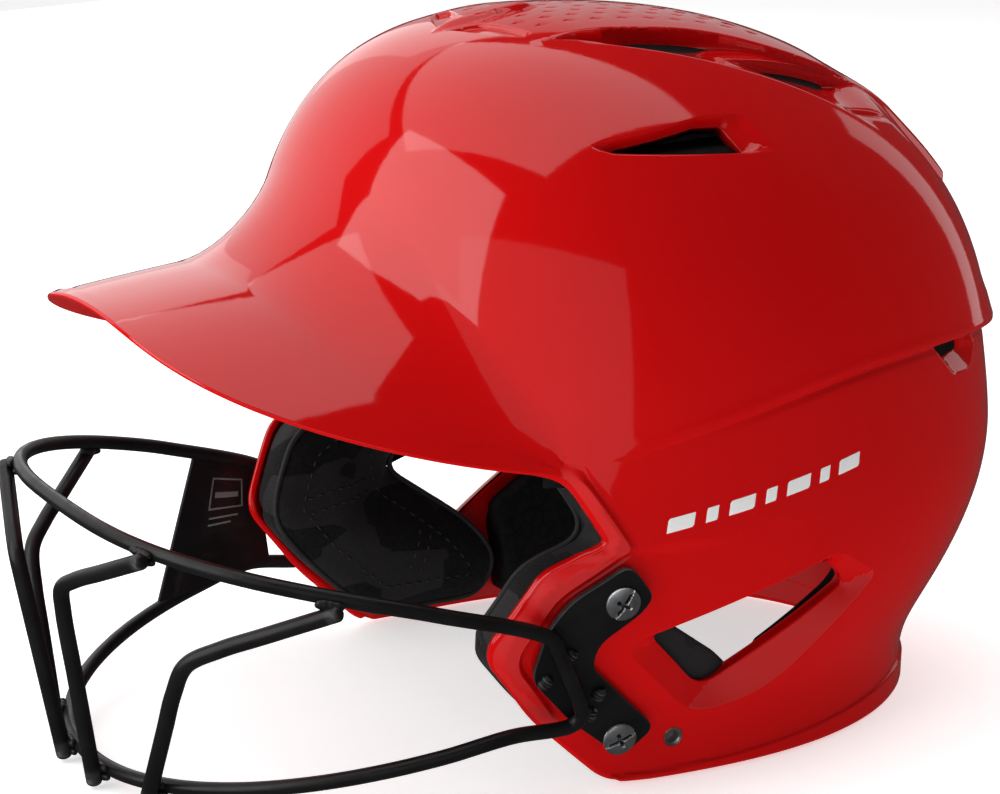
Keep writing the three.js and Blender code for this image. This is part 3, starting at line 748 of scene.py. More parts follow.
def even_points(spacing):
    """Rings of points over the left half of the helmet, about the same distance apart."""
    found = []
    way = np.interp(np.arange(spacing, PATH[-1], spacing * 0.87), PATH, WAY)
    for k, w in enumerate(way):
        z = height_of(w)
        radius = shell_point(PI / 2, z)[0]
        half_length = (shell_point(PI, z)[1] - shell_point(0.0, z)[1]) / 2
        count = max(3, round(PI * (radius + half_length) / 2 / spacing))
        angles = (np.arange(count) + (0.5 if k % 2 else 1.0)) * PI / count
        found.append(flat_of(angles[angles < PI - 0.3 / count], np.full(1, z)))
    return np.concatenate(found)


def step_rows():
    """Lines along the seam: the lip, the foot of the step and rows beside them."""
    angle = np.linspace(SEAM_START[0] - 0.02, PI, 190)
    beside = (-4.2, -2.8, -1.6, -0.8, 0.5, 1.0, 2.1, 2.9, 4.2, 6.0)
    return [[flat_of(angle, step_height(angle) - below) for below in rows] for rows in ((0.0, 1.5), beside)]


def rim_curve(below):
    """The lower rim's upper edge, or a line that much below it."""
    angle = np.linspace(1.5, PI, 320)
    z = np.full(len(angle), 5.0)
    for _ in range(5):
        z = rim_height(shell_point(angle, z)[:, 1]) - below
    return flat_of(angle, z)


def top_curve(function, low, high, count):
    y = np.linspace(low, high, count)
    return flat_from_top(np.stack([function(y), y], -1))


def perforation_lines():
    for x, y in perforation_centres():
        for size in (0.62, 1.0):
            corners = [(1, 0), (0.5, 0.5), (0, 1), (-0.5, 0.5), (-1, 0), (-0.5, -0.5), (0, -1), (0.5, -0.5)]
            ring = [(x + a * PERFORATION_WIDE * size, y + b * PERFORATION_LONG * size) for a, b in corners]
            yield Line(flat_from_top(np.array(ring)), True)


class Layout:
    """Points and edges laid out flat, ready to be joined into triangles."""

    def __init__(self):
        self.flat = []
        self.edges = []
        self.count = 0

    def add_line(self, flat, closed):
        start = self.count
        self.flat.append(flat)
        self.count += len(flat)
        self.edges += [(k, k + 1) for k in range(start, self.count - 1)]
        if closed:
            self.edges.append((self.count - 1, start))

    def add_points(self, flat, clearance):
        """Adds the points that stand clear of those already there."""
        tree = tree_of(place(np.concatenate(self.flat)))
        kept = [q for q, p in zip(flat, place(flat)) if tree.find(p)[2] > clearance]
        if kept:
            self.flat.append(np.array(kept))
            self.count += len(kept)


def tree_of(points):
    tree = KDTree(len(points))
    for k, p in enumerate(points):
        tree.insert(p, k)
    tree.balance()
    return tree


def half_outline(bill_columns, section):
    """The left half's border laid out flat: centre line, fillet start, face opening and lower rim."""
    angle, z = fillet_start(bill_columns)
    front = flat_of(angle, z)
    corner = flat_from_side(section[:, 1:])
    opening = opening_edge.flat
    rim_angle = math.atan2(opening[-1, 0], -opening[-1, 1])
    rim_angles = np.linspace(rim_angle, PI, 130)[1:]
    rim = flat_of(rim_angles, np.full(len(rim_angles), OPENING_EDGE[-1][1]))
    rim[-1, 0] = 0.0
    rear_ways = np.arange(PATH[-1], 0, -2.6)
    rear_flat = np.interp(rear_ways, PATH, FLAT)
    rear_flat = rear_flat[rear_flat < rim[-1, 1] - 8]
    front_flat = np.interp(np.arange(2.0, PATH[-1], 2.6), PATH, FLAT)
    front_flat = front_flat[front_flat < -front[0, 1] - 4]
    centre = np.concatenate([rear_flat, [0.0], -front_flat])
    centre = np.stack([np.zeros(len(centre)), centre], -1)
    front[0, 0] = 0.0
    return np.concatenate([centre, front, corner[1:-1], opening, rim]), len(centre)


HOLES = [ear_hole, vent_hole, rear_hole, strap_hole, *nut_holes, *crown_slots]
# Rows of points beside each design line: distances to either side, or heights above the lowest rim.
FINE_OFFSETS = (0.5, 1.0, 1.6, 2.4, 3.4, 4.6, 6.2, 8.4)
EDGE_OFFSETS = (0.9, 1.9, 2.8, 3.2, 4.4, 6.2, 8.6)
WALL_OFFSETS = (0.5, 1.2, 2.2, 3.6)
RIM_HEIGHTS = (2.5, 3.4, 4.4, 5.4, 6.4, 7.4, 8.6, 10.2, 12.4)
RIM_ROWS = (-3.0, -1.8, -0.9, 0.4, 1.6, 2.6)
LOBE_GAPS = (0.0, 0.7, 1.4, 2.3, -0.8, -1.8)
SPINE_TAIL_HEIGHTS = (161.6, 162.6, 163.0, 163.6, 164.2, 165.0, 165.6, 167.0)
SPINE_GAPS = (-1.0, 0.0, 1.1, 2.2, 3.3, 4.4, 5.5, SPINE_SIDE_WIDTH, 7.8)


def both_ways(offsets):
    return [sign * offset for offset in offsets for sign in (1, -1)]


def lay_out_shell(section):
    """All points and edges of the left half's surface, laid out flat."""
    layout = Layout()
    bill_columns = np.linspace(0, BILL_END, BILL_COLUMNS + 1)
    outline, seam_start = half_outline(bill_columns, section)
    layout.add_line(outline, True)
    area = Line(outline, True)
    for hole in HOLES:
        layout.add_line(hole.flat, True)
    for line in (ear_bevel, vent_edge, rear_edge, deck_edge, bead_edge):
        layout.add_line(line.flat, line.closed)
    seam_lines, seam_rows = step_rows()
    walls = [
        top_curve(wall_x, -34, 84, 100),
        top_curve(lambda y: wall_x(y) + LOUVRE_WALL, -34, 84, 100),
        top_curve(outer_wall_x, 22, 84, 56),
        top_curve(lambda y: outer_wall_x(y) + LOUVRE_WALL, 22, 84, 56),
        top_curve(panel_x, -27, 78, 90),
        top_curve(lambda y: panel_x(y) + PANEL_CHAMFER, -27, 78, 90),
        top_curve(slit_x, 60, 89, 30),
    ]
    for line in [*seam_lines, *walls, rim_curve(-0.1), rim_curve(0.9)]:
        layout.add_line(line, False)
    for ring in perforation_lines():
        layout.add_line(ring.flat, True)

    def add(flat, clearance):
        flat = flat[area.holds(flat)]
        for hole in HOLES:
            flat = flat[~hole.holds(flat)]
        if len(flat):
            layout.add_points(flat, clearance)

    for line in (bead_edge, vent_edge, rear_edge, deck_edge, ear_bevel):
        for row in rows_beside(line, both_ways(FINE_OFFSETS)):
            add(row, 0.42)
    for line in (opening_edge, *HOLES):
        for row in rows_beside(line, both_ways(EDGE_OFFSETS)):
            add(row, 0.6)
    rim_angles = np.linspace(0.5, PI, 240)
    for height in RIM_HEIGHTS:
        add(flat_of(rim_angles, np.full(240, height)), 0.7)
    for row in [*seam_rows, *map(rim_curve, RIM_ROWS)]:
        add(row, 0.4)
    heights = np.linspace(124, 194, 60)
    for gap in LOBE_GAPS:
        add(flat_of(lobe_angle(heights) + gap / 95, heights), 0.4)
    for line in walls:
        for row in rows_beside(Line(line, False), both_ways(WALL_OFFSETS)):
            add(row, 0.42)
    for height in SPINE_TAIL_HEIGHTS:
        add(flat_of(np.radians(np.arange(154, 181, 0.7)), np.full(39, height)), 0.4)
    heights = np.arange(163, 204, 1.3)
    for gap in SPINE_GAPS:
        add(spine_side(heights, gap), 0.5)
    for y in np.arange(-58, -15, 1.6):
        half = crest_half_width(np.array(y))
        across = np.array([half - 3, half - 1.5, half, half + 1.2])
        across = across[across > 0.6]
        add(flat_from_top(np.stack([across, np.full(len(across), y)], -1)), 0.5)
    add(even_points(EVEN_SPACING), 0.62 * EVEN_SPACING)
    return layout, area, seam_start


EVEN_SPACING = 3.0


def triangulate(layout, area, holes):
    """Joins the layout into triangles; gives the points, the triangles and each first point's new number."""
    flat = np.concatenate(layout.flat)
    cdt = delaunay_2d_cdt([Vector(p) for p in flat], layout.edges, [], 0, 1e-5, True)
    joined = np.array([(p.x, p.y) for p in cdt[0]])
    number = {old: new for new, olds in enumerate(cdt[3]) for old in olds}
    triangles = np.array([face for face in cdt[2] if len(face) == 3])
    a, b, c = joined[triangles[:, 0]], joined[triangles[:, 1]], joined[triangles[:, 2]]
    middle = (a + b + c) / 3
    kept = area.holds(middle)
    for hole in holes:
        kept &= ~hole.holds(middle)
    triangles = triangles[kept]
    a, b, c = joined[triangles[:, 0]], joined[triangles[:, 1]], joined[triangles[:, 2]]
    turn = (b[:, 0] - a[:, 0]) * (c[:, 1] - a[:, 1]) - (b[:, 1] - a[:, 1]) * (c[:, 0] - a[:, 0])
    triangles[turn < 0] = triangles[turn < 0][:, ::-1]
    return joined, triangles, number


def border_loops(faces):
    """Runs of vertices along the open borders, with the surface on their left."""
    edges = {}
    for face in faces:
        for a, b in zip(face, [*face[1:], face[0]]):
            edges[(a, b)] = True
    after = {a: b for a, b in edges if (b, a) not in edges}
    loops = []
    while after:
        start = next(iter(after))
        loop = [start]
        while loop[-1] in after:
            loop.append(after.pop(loop[-1]))
        loops.append(loop)
    return loops


def relax_corner(points, faces):
    """Rounds the sharp fold where the bill meets the side, and gives each vertex's share in it."""
    gap = np.linalg.norm(points - BILL_CORNER, axis=1)
    weight = 1 - smoothstep(3, 10, gap)
    neighbours = {}
    for face in faces:
        if weight[list(face)].max() > 0:
            for a, b in zip(face, [*face[1:], face[0]]):
                neighbours.setdefault(a, set()).add(b)
                neighbours.setdefault(b, set()).add(a)
    for loop in border_loops(faces):
        for before, k, after in zip(loop, loop[1:], loop[2:]):
            if k in neighbours:
                neighbours[k] = {before, after}
    moved = np.array([k for k in neighbours if weight[k] > 0])
    for _ in range(16):
        mean = np.array([points[list(neighbours[k])].mean(0) for k in moved])
        points[moved] += (mean - points[moved]) * (0.6 * weight[moved])[:, None]
    return weight


def face_normals_at(points, faces):
    normals = np.zeros_like(points)
    for size in (3, 4):
        part = np.array([face for face in faces if len(face) == size])
        if len(part):
            corner = points[part]
            cross = np.cross(corner[:, 2] - corner[:, 0], corner[:, -1] - corner[:, 1])
            for column in part.T:
                np.add.at(normals, column, cross)
    return unit(normals)


def build_half_shell():
    bill_points, bill_normals, thickness, bill_quads, bill_index = make_bill_grid()
    layout, area, seam_start = lay_out_shell(bill_points[bill_index[-1]])
    flat, triangles, number = triangulate(layout, area, HOLES)
    outer = moulded(flat)
    outer_normals = unit(np.cross(*slopes(moulded, flat)))
    base = base_normal(flat)
    recess = np.minimum(((outer - place(flat)) * base).sum(1), 0.0)
    inner = place(flat) + base * (recess - SHELL_THICKNESS)[:, None]

    bill_inner = bill_points - bill_normals * thickness
    seam = [bill_index[k, 0] for k in range(BILL_COLUMNS + 1)] + list(bill_index[-1, 1:])
    renumber = np.arange(len(bill_points)) + len(outer)
    for k, vertex in enumerate(seam):
        renumber[vertex] = number[seam_start + k]
    for k in seam:
        outer[renumber[k]] = bill_points[k]
        inner[renumber[k]] = bill_inner[k]
        outer_normals[renumber[k]] = bill_normals[k]
    faces = [list(map(int, t)) for t in triangles] + [list(map(int, q)) for q in renumber[bill_quads]]
    outer = np.concatenate([outer, bill_points])
    inner = np.concatenate([inner, bill_inner])
    normals = np.concatenate([outer_normals, bill_normals])

    weight = relax_corner(outer, faces)
    relax_corner(inner, faces)
    weight = (weight * 1.3).clip(0, 1)[:, None]
    normals = unit(normals * (1 - weight) + face_normals_at(outer, faces) * weight)
    middle = flat[triangles].mean(axis=1)
    spot = place(middle)
    low_side = spot[:, 2] < EAR_LOW_LINE[0] + EAR_LOW_LINE[1] * spot[:, 1]
    satin = bead_region.holds(middle) & ~opening_region.holds(middle)
    satin |= ear_bevel.holds(middle) & low_side
    slots = [2 if is_satin else 0 for is_satin in satin] + [0] * len(bill_quads)
    return outer, inner, normals, faces, slots


def mirrored(points, normals, faces):
    """Adds the right half, joined along the centre line."""
    on_centre = np.abs(points[:, 0]) < 1e-5
    points[on_centre, 0] = 0.0
    twin = np.where(on_centre, np.arange(len(points)), np.cumsum(~on_centre) - 1 + len(points))
    flip = np.array([-1.0, 1.0, 1.0])
    both = np.concatenate([points, points[~on_centre] * flip])
    both_normals = [np.concatenate([n, n[~on_centre] * flip]) for n in normals]
    return both, both_normals, faces + [[int(twin[k]) for k in reversed(face)] for face in faces]


RIM_STEPS = 8
BULLNOSE = 1.8
HOLE_EDGE = 0.7
EAR_HOLE_REACH = (60, 90)
# The wall round the ear opening: into the opening, and inwards from the surface.
COLLAR = [
    (0.22, 0.06), (0.42, 0.25), (0.52, 0.6), (0.6, 1.4), (0.7, 2.4), (0.72, 3.1), (0.6, 3.6), (0.3, 3.95),
    (-0.2, 4.05), (-0.7, 3.9),
]


def make_collar(o, n, out):
    """The ear opening's wall, which narrows inwards and ends in a rounded inner edge."""
    points = [o + out * a - n * b for a, b in COLLAR]
    steps = np.diff(np.array([(0.0, 0.0), *COLLAR]), axis=0)
    normals = [unit(out * b + n * a) for a, b in steps]
    return points, normals


def make_rim(outer, inner, normals, loop, first):
    """A rolled edge from the outer surface round to the inner one; a small hole's edge is squarer."""
    o, i, n = outer[loop], inner[loop], normals[loop]
    run = unit(np.roll(o, -1, axis=0) - np.roll(o, 1, axis=0))
    out = unit(np.cross(run, n))
    reach = np.ptp(o, axis=0).max()
    small = reach < 60
    bulge = np.minimum(np.linalg.norm(o - i, axis=1, keepdims=True) / 2, HOLE_EDGE if small else BULLNOSE)
    power = 0.55 if small else 1.0
    centre = (o + i) / 2
    points, rim_normals, rows = [], [], [np.array(loop)]
    if EAR_HOLE_REACH[0] < reach < EAR_HOLE_REACH[1]:
        points, rim_normals = make_collar(o, n, out)
    else:
        for k in range(1, RIM_STEPS):
            turn = PI * k / RIM_STEPS
            across = math.copysign(abs(math.cos(turn)) ** power, math.cos(turn))
            points.append(centre + (o - centre) * across + out * bulge * math.sin(turn) ** power)
            rim_normals.append(unit(unit(o - centre) * math.cos(turn) + out * math.sin(turn)))
    rows += [first + k * len(loop) + np.arange(len(loop)) for k in range(len(points))]
    rows.append(np.array(loop) + len(outer))
    return np.concatenate(points), np.concatenate(rim_normals), ring_quads(rows)


def add_piece(name, points, faces, materials, slots=None, normals=None, crease=None):
    """A mesh object from points in millimetres about the ear line."""
    mesh = bpy.data.meshes.new(name)
    used = np.zeros(len(points), bool)
    used[np.concatenate([np.ravel(face) for face in faces])] = True
    number = np.cumsum(used) - 1
    numbered = [number[face].tolist() for face in map(np.array, faces)]
    mesh.from_pydata(metres(points)[used].tolist(), [], numbered)
    if slots is not None:
        mesh.polygons.foreach_set("material_index", slots)
    mesh.polygons.foreach_set("use_smooth", [True] * len(mesh.polygons))
    for material in materials:
        mesh.materials.append(material)
    if crease is not None:
        mesh.set_sharp_from_angle(angle=crease)
    if normals is not None:
        mesh.normals_split_custom_set_from_vertices(normals[used].tolist())
    mesh.update()
    piece = bpy.data.objects.new(name, mesh)
    bpy.context.scene.collection.objects.link(piece)
    return piece


def build_shell(materials):
    half_outer, half_inner, half_normals, half_faces, half_slots = build_half_shell()
    centre = np.abs(half_outer[:, 0]) < 1e-5
    half_inner[centre, 0] = 0.0
    half_normals[centre, 0] = 0.0
    outer, (inner, normals), faces = mirrored(half_outer, [half_inner, unit(half_normals)], half_faces)
    inside = turned_over(faces, len(outer))
    points, all_normals = [outer, inner], [normals, -normals]
    rim_faces = []
    first = 2 * len(outer)
    for loop in border_loops(faces):
        loop = loop[:-1] if loop[0] == loop[-1] else loop
        more, more_normals, quads = make_rim(outer, inner, normals, loop, first)
        points.append(more)
        all_normals.append(more_normals)
        rim_faces += quads
        first += len(more)
    slots = half_slots * 2 + [0] * len(rim_faces) + [1] * len(inside)
    faces = faces + rim_faces + inside
    return add_piece("shell", np.concatenate(points), faces, materials, slots, np.concatenate(all_normals))


# ---- Wires ------------------------------------------------------------------------------------------
def smooth_curve(points, closed, per_span=14):
    """A centripetal Catmull-Rom curve, as the CAD wires follow."""
    p = np.asarray(points, float)
    if closed:
        p = np.concatenate([p[-1:], p, p[:2]])
    else:
        p = np.concatenate([2 * p[:1] - p[1:2], p, 2 * p[-1:] - p[-2:-1]])
    curve = []
    for a, b, c, d in zip(p, p[1:], p[2:], p[3:]):
        ab, bc, cd = [np.linalg.norm(q - r) ** 0.5 for q, r in ((b, a), (c, b), (d, c))]
        m1 = (c - b) + bc * ((b - a) / ab - (c - a) / (ab + bc))
        m2 = (c - b) + bc * ((d - c) / cd - (d - b) / (bc + cd))
        t = (np.arange(per_span) / per_span)[:, None]
        from_start = (2 * t**3 - 3 * t**2 + 1) * b + (t**3 - 2 * t**2 + t) * m1
        curve.append(from_start + (3 * t**2 - 2 * t**3) * c + (t**3 - t**2) * m2)
    curve = np.concatenate(curve)
    return curve if closed else np.concatenate([curve, p[-2:-1]])


def sweep(path, radius, closed=False, sides=20, flatten=None):
    """A round tube along a path; radius may vary, and flatten gives an across direction and its share."""
    count = len(path)
    radius = np.broadcast_to(np.asarray(radius, float), (count,))
    if closed:
        tangent = unit(np.roll(path, -1, axis=0) - np.roll(path, 1, axis=0))
    else:
        tangent = unit(np.gradient(path, axis=0))
    across = unit(np.cross(tangent[0], [0.3, 0.1, 1.0]))
    frames = [across]
    for t in tangent[1:]:
        across = unit(across - t * (across @ t))
        frames.append(across)
    first = np.array(frames)
    second = np.cross(tangent, first)
    if closed:
        left_over = math.atan2(first[-1] @ second[0], first[-1] @ first[0])
        turn = left_over * np.arange(count)[:, None] / count
        first, second = (
            first * np.cos(turn) - second * np.sin(turn),
            first * np.sin(turn) + second * np.cos(turn),
        )
    angle = np.arange(sides) * 2 * PI / sides
    ring = first[:, None] * np.cos(angle)[:, None] + second[:, None] * np.sin(angle)[:, None]
    offset = ring * radius[:, None, None]
    if flatten is not None:
        direction, share = flatten
        offset -= direction * ((offset @ direction) * (1 - share))[..., None]
    points = (path[:, None] + offset).reshape(-1, 3)
    index = np.arange(count * sides).reshape(count, sides)
    rows = np.concatenate([index, index[:1]]) if closed else index
    faces = tube_quads(rows, rows[1:])
    if not closed:
        faces.append(index[0][::-1].tolist())
        faces.append(index[-1].tolist())
    return points, faces


def round_ended(path, radius, steps=6):
    """A path and radii whose ends are domed."""
    out_start, out_end = unit(path[0] - path[1]), unit(path[-1] - path[-2])
    turn = np.linspace(0.12, PI / 2, steps)
    start = [path[0] + out_start * radius * (math.cos(t) * 0.7) for t in turn]
    end = [path[-1] + out_end * radius * (math.cos(t) * 0.7) for t in turn[::-1]]
    radii = [radius * math.sin(t) for t in turn]
    return np.concatenate([start, path, end]), np.array(radii + [radius] * len(path) + radii[::-1])


def join_parts(parts):
    points, faces, first = [], [], 0
    for p, f in parts:
        points.append(p)
        faces += [[k + first for k in face] for face in f]
        first += len(p)
    return np.concatenate(points), faces


def flipped(points, faces):
    return points * [-1, 1, 1], [face[::-1] for face in faces]


WIRE_RADIUS = 2.3
BAR_RADIUS = 2.5
PLATE_OUTSET = 0.8
PLATE_THICKNESS = 2.4
GAP = 0.3
LOOP_TOP = {"x": 100, "y": -70.5, "reach": 109.3, "power": 2.81, "z": 58, "climb": 33.5, "bend": -6.6}
LOOP_LOW = {"x": 94.5, "y": -62.4, "reach": 110.5, "power": 2.08, "z": 27.9, "climb": -17.3, "bend": -3}
LOOP_TOP_TURNS = (0.13, 0.26, 0.39, 0.52, 0.64, 0.76, 0.88)
LOOP_LOW_TURNS = (0.92, 0.8, 0.68, 0.56, 0.43, 0.29, 0.14)
LOOP_CORNERS = [(-65.8, 57), (-63.3, 52.4), (-59, 43.7), (-54.3, 34.6), (-52.8, 29.6), (-55.2, 26.3)]
UPRIGHTS = [
    {"name": "inner", "top": 0.262, "low": 0.075, "side": (0.87, -0.5), "bend": (18, -188, 67.5), "knee": 9},
    {"name": "outer", "top": 0.686, "low": 0.245, "side": (0.45, -0.9), "bend": (62, -168, 54), "knee": 13},
]
LOW_SIDE = (0.98, -0.2)
BAR_END = 2.2


def loop_bend(side, turn):
    angle = turn * PI / 2
    x = side["x"] * math.copysign(abs(math.sin(angle)) ** (2 / side["power"]), angle)
    y = side["y"] - side["reach"] * math.cos(angle) ** (2 / side["power"])
    back = (side["y"] - y) / 100
    return np.array([x, y, side["z"] + side["climb"] * back + side["bend"] * back * back])


def surface_spot(y, z):
    """A point of the plain surface on the wearer's left and the way out from it."""
    flat = flat_from_side(np.array([[y, z]], float))
    return place(flat)[0], base_normal(flat)[0]


def surface_point(y, z, outset):
    point, normal = surface_spot(y, z)
    return point + normal * outset


def loop_path():
    outset = PLATE_OUTSET + PLATE_THICKNESS + GAP + WIRE_RADIUS
    half = [loop_bend(LOOP_TOP, turn) for turn in LOOP_TOP_TURNS]
    half += [surface_point(y, z, outset) for y, z in LOOP_CORNERS]
    half += [loop_bend(LOOP_LOW, turn) for turn in LOOP_LOW_TURNS]
    other = [p * [-1, 1, 1] for p in reversed(half)]
    return smooth_curve([loop_bend(LOOP_TOP, 0), *half, loop_bend(LOOP_LOW, 0), *other], True)


def weld_point(side, turn, out_up, reach):
    middle = loop_bend(side, turn)
    along = loop_bend(side, turn + 0.01) - loop_bend(side, turn - 0.01)
    outward = -unit(np.array([-along[1], along[0], 0.0]))
    return middle + reach * (outward * out_up[0] + np.array([0, 0, out_up[1]]))


def weld_bead(centre, along, size, length):
    """A run of overlapping weld ripples."""
    t = np.linspace(-1, 1, 31)
    ripple = 1 + 0.04 * np.cos(t * 13)
    radius = size * np.sqrt(np.maximum(1 - t**4, 0.01)) * ripple
    wander = np.outer(np.sin(t * 5 + size * 9) * 0.1, unit(np.cross(along, [0.2, 0.5, 1.0])))
    return sweep(centre + np.outer(t * length / 2, along) + wander, radius, sides=16)


def upright_parts(upright):
    reach = WIRE_RADIUS + BAR_RADIUS + 1.5 * GAP
    start = weld_point(LOOP_TOP, upright["top"], upright["side"], reach)
    end = weld_point(LOOP_LOW, upright["low"], LOW_SIDE, reach)
    bend, knee = np.array(upright["bend"], float), upright["knee"]
    up, down = unit(start - bend), unit(end - bend)
    points = [
        start + up * BAR_END,
        start + (bend - start) * 0.45,
        bend + up * knee,
        bend + (up + down) * knee / 6,
        bend + down * knee,
        bend + (end - bend) * 0.5,
        end + down * BAR_END,
    ]
    path, radii = round_ended(smooth_curve(points, False), BAR_RADIUS)
    parts = [sweep(path, radii)]
    for side, turn, out_up, point in (
        (LOOP_TOP, upright["top"], upright["side"], start),
        (LOOP_LOW, upright["low"], LOW_SIDE, end),
    ):
        along = unit(loop_bend(side, turn + 0.01) - loop_bend(side, turn - 0.01))
        contact = weld_point(side, turn, out_up, WIRE_RADIUS + 0.2)
        aside = unit(np.cross(along, point - contact))
        for sign in (1, -1):
            parts.append(weld_bead(contact + aside * sign * 1.5, along, 1.35, 8.5))
    return parts


# ---- Plates, screws and other fittings ---------------------------------------------------------------
PLATE = [
    [-67, 57, 4], [-61.5, 66.5, 6], [-44.5, 77, 4], [-36.5, 66.5, 4], [-39.5, 61.5, 4], [-51, 52.5, 5],
    [-52, 44.5, 6], [-27, 19.5, 4], [-37, 10, 4], [-54.5, 25.5, 5], [-69, 41.5, 4],
]
PLATE_WELDS = [((-59.5, 49.8), (-65, 41.2)), ((-49.2, 28.2), (-48.2, 35.4))]
SCREW_HOLE = 2.9
PLATE_BEVEL = 0.3


def flat_sheet(edge, holes, spacing, offsets):
    """Points and triangles filling an edge line round its holes, laid out flat."""
    layout = Layout()
    layout.add_line(edge.flat, True)
    for hole in holes:
        layout.add_line(hole.flat, True)
    for line in (edge, *holes):
        for offset in offsets:
            for sign in (1, -1):
                for row in rows_beside(line, [sign * offset]):
                    row = row[edge.holds(row)]
                    for hole in holes:
                        row = row[~hole.holds(row)]
                    if len(row):
                        layout.add_points(row, 0.4 * min(spacing, offset))
    low, high = edge.flat.min(0), edge.flat.max(0)
    pitch = spacing / stretch(edge.flat).mean()
    grid = np.stack(np.meshgrid(np.arange(low[0], high[0], pitch), np.arange(low[1], high[1], pitch)), -1)
    grid = grid.reshape(-1, 2)
    grid = grid[edge.holds(grid)]
    for hole in holes:
        grid = grid[~hole.holds(grid)]
    layout.add_points(grid, 0.6 * spacing)
    joined, triangles, _ = triangulate(layout, edge, holes)
    return joined, triangles


def edge_drop(points, lines, size):
    """How far a face falls away along its edges, for a rounded edge of that size."""
    gap = np.min([line.distance(points, size + 1) for line in lines], axis=0)
    return size * (1 - np.sqrt(1 - (1 - np.clip(gap / size, 0, 1)) ** 2))


def plate_parts():
    edge = side_line(PLATE, 1.0)
    holes = [round_hole(y, z, SCREW_HOLE) for y, z in SCREW_PLACES]
    flat, triangles = flat_sheet(edge, holes, 1.8, (0.12, 0.3, 0.9))
    base, normal = place(flat), base_normal(flat)
    drop = edge_drop(base, [edge, *holes], PLATE_BEVEL)[:, None]
    top = base + normal * (PLATE_OUTSET + PLATE_THICKNESS - drop)
    bottom = base + normal * (PLATE_OUTSET + drop)
    faces = triangles.tolist()
    under = turned_over(faces, len(top))
    sides = []
    for loop in border_loops(faces):
        for a, b in zip(loop, loop[1:]):
            sides.append([b, a, a + len(top), b + len(top)])
    parts = [(np.concatenate([top, bottom]), faces + under + sides)]
    outset = PLATE_OUTSET + PLATE_THICKNESS + 0.5
    for a, b in PLATE_WELDS:
        start, end = surface_point(*a, outset), surface_point(*b, outset)
        for point, aim in ((start, end), (end, start)):
            parts.append(weld_bead(point, unit(aim - point), 1.9, 4.8))
    return parts


# The label plate between the loop's two runs, given on the wearer's left before it is mirrored.
LABEL_LOW = np.array([[83.6, -116.4, 17.7], [93.4, -70.0, 24.9]])
LABEL_TOP = np.array([[99.5, -94.6, 65.7], [100.2, -71.5, 58.0]])
LABEL_WIDTH = 27.0
LABEL_HEIGHT = 49.0
LABEL_THICKNESS = 1.6
LABEL_ROUND = 0.6
LABEL_COLUMNS = 56
LABEL_ROWS = 88


def label_spot(u, v, rise):
    """A point of the label plate: u from front to back, v from the low run to the top one."""
    outward = unit(np.cross(LABEL_TOP[1] - LABEL_LOW[0], LABEL_TOP[0] - LABEL_LOW[1]))
    u, v = np.asarray(u, float)[..., None], np.asarray(v, float)[..., None]
    low = LABEL_LOW[0] * (1 - u) + LABEL_LOW[1] * u
    top = LABEL_TOP[0] * (1 - u) + LABEL_TOP[1] * u
    return low * (1 - v) + top * v + outward * np.asarray(rise, float)[..., None]


def label_plate():
    """A pressed sheet with a rounded rib round its lower front corner and a rolled edge."""
    u, v = np.meshgrid(eased(LABEL_COLUMNS), 0.03 + 0.94 * eased(LABEL_ROWS), indexing="ij")
    across, up = u * LABEL_WIDTH, v * LABEL_HEIGHT
    edge = np.minimum(np.minimum(across, LABEL_WIDTH - across), np.minimum(up, LABEL_HEIGHT - up))
    fall = LABEL_ROUND * (1 - np.sqrt(1 - (1 - np.clip(edge / LABEL_ROUND, 0, 1)) ** 2))
    ring = np.hypot(np.maximum(9.0 - across, 0) * 1.1, np.maximum(up - 9.0, 0)) - 4.6
    rib = 0.8 * bump(ring, 1.2) * smoothstep(1.2, 3.0, edge)
    rib *= smoothstep(22, 14, up) * smoothstep(18, 10, across)
    shapes = []
    for sign in (1, -1):
        shapes.append(label_spot(u, v, sign * (LABEL_THICKNESS / 2 - fall) - rib))
    return np.concatenate([part.reshape(-1, 3) for part in shapes]), slab_faces(*u.shape)


def label_parts():
    """The plain sticker on the plate's inner face: a thin film with a printed border and blank bars."""
    parts = []
    frames = [(0.30, 0.80, 0.42, 0.90, 0.06), (0.34, 0.76, 0.60, 0.615, 0.1), (0.34, 0.76, 0.83, 0.845, 0.1)]
    frames += [(0.34, 0.36, 0.60, 0.845, 0.1), (0.74, 0.76, 0.60, 0.845, 0.1), (0.40, 0.70, 0.69, 0.735, 0.1)]
    frames += [(0.36, 0.70, 0.53, 0.545, 0.1), (0.36, 0.62, 0.48, 0.495, 0.1)]
    for u0, u1, v0, v1, rise in frames:
        u, v = [g.ravel() for g in np.meshgrid(np.linspace(u0, u1, 9), np.linspace(v0, v1, 7), indexing="ij")]
        border = (u > u0 + 1e-6) & (u < u1 - 1e-6) & (v > v0 + 1e-6) & (v < v1 - 1e-6)
        points = label_spot(u, v, -LABEL_THICKNESS / 2 - np.where(border, rise, rise - 0.04))
        index = np.arange(len(u)).reshape(9, 7)
        quads = np.stack([index[:-1, :-1], index[:-1, 1:], index[1:, 1:], index[1:, :-1]], -1).reshape(-1, 4)
        parts.append((points, quads.tolist()))
    film, lines = join_parts(parts[:1]), join_parts(parts[1:])
    slots = [0] * len(film[1]) + [1] * len(lines[1])
    return join_parts([film, lines]), slots


def spot_frame(y, z):
    point, normal = surface_spot(y, z)
    first = unit(np.cross(normal, [0.25, 0.0, 1.0]))
    return point, normal, first, np.cross(normal, first)


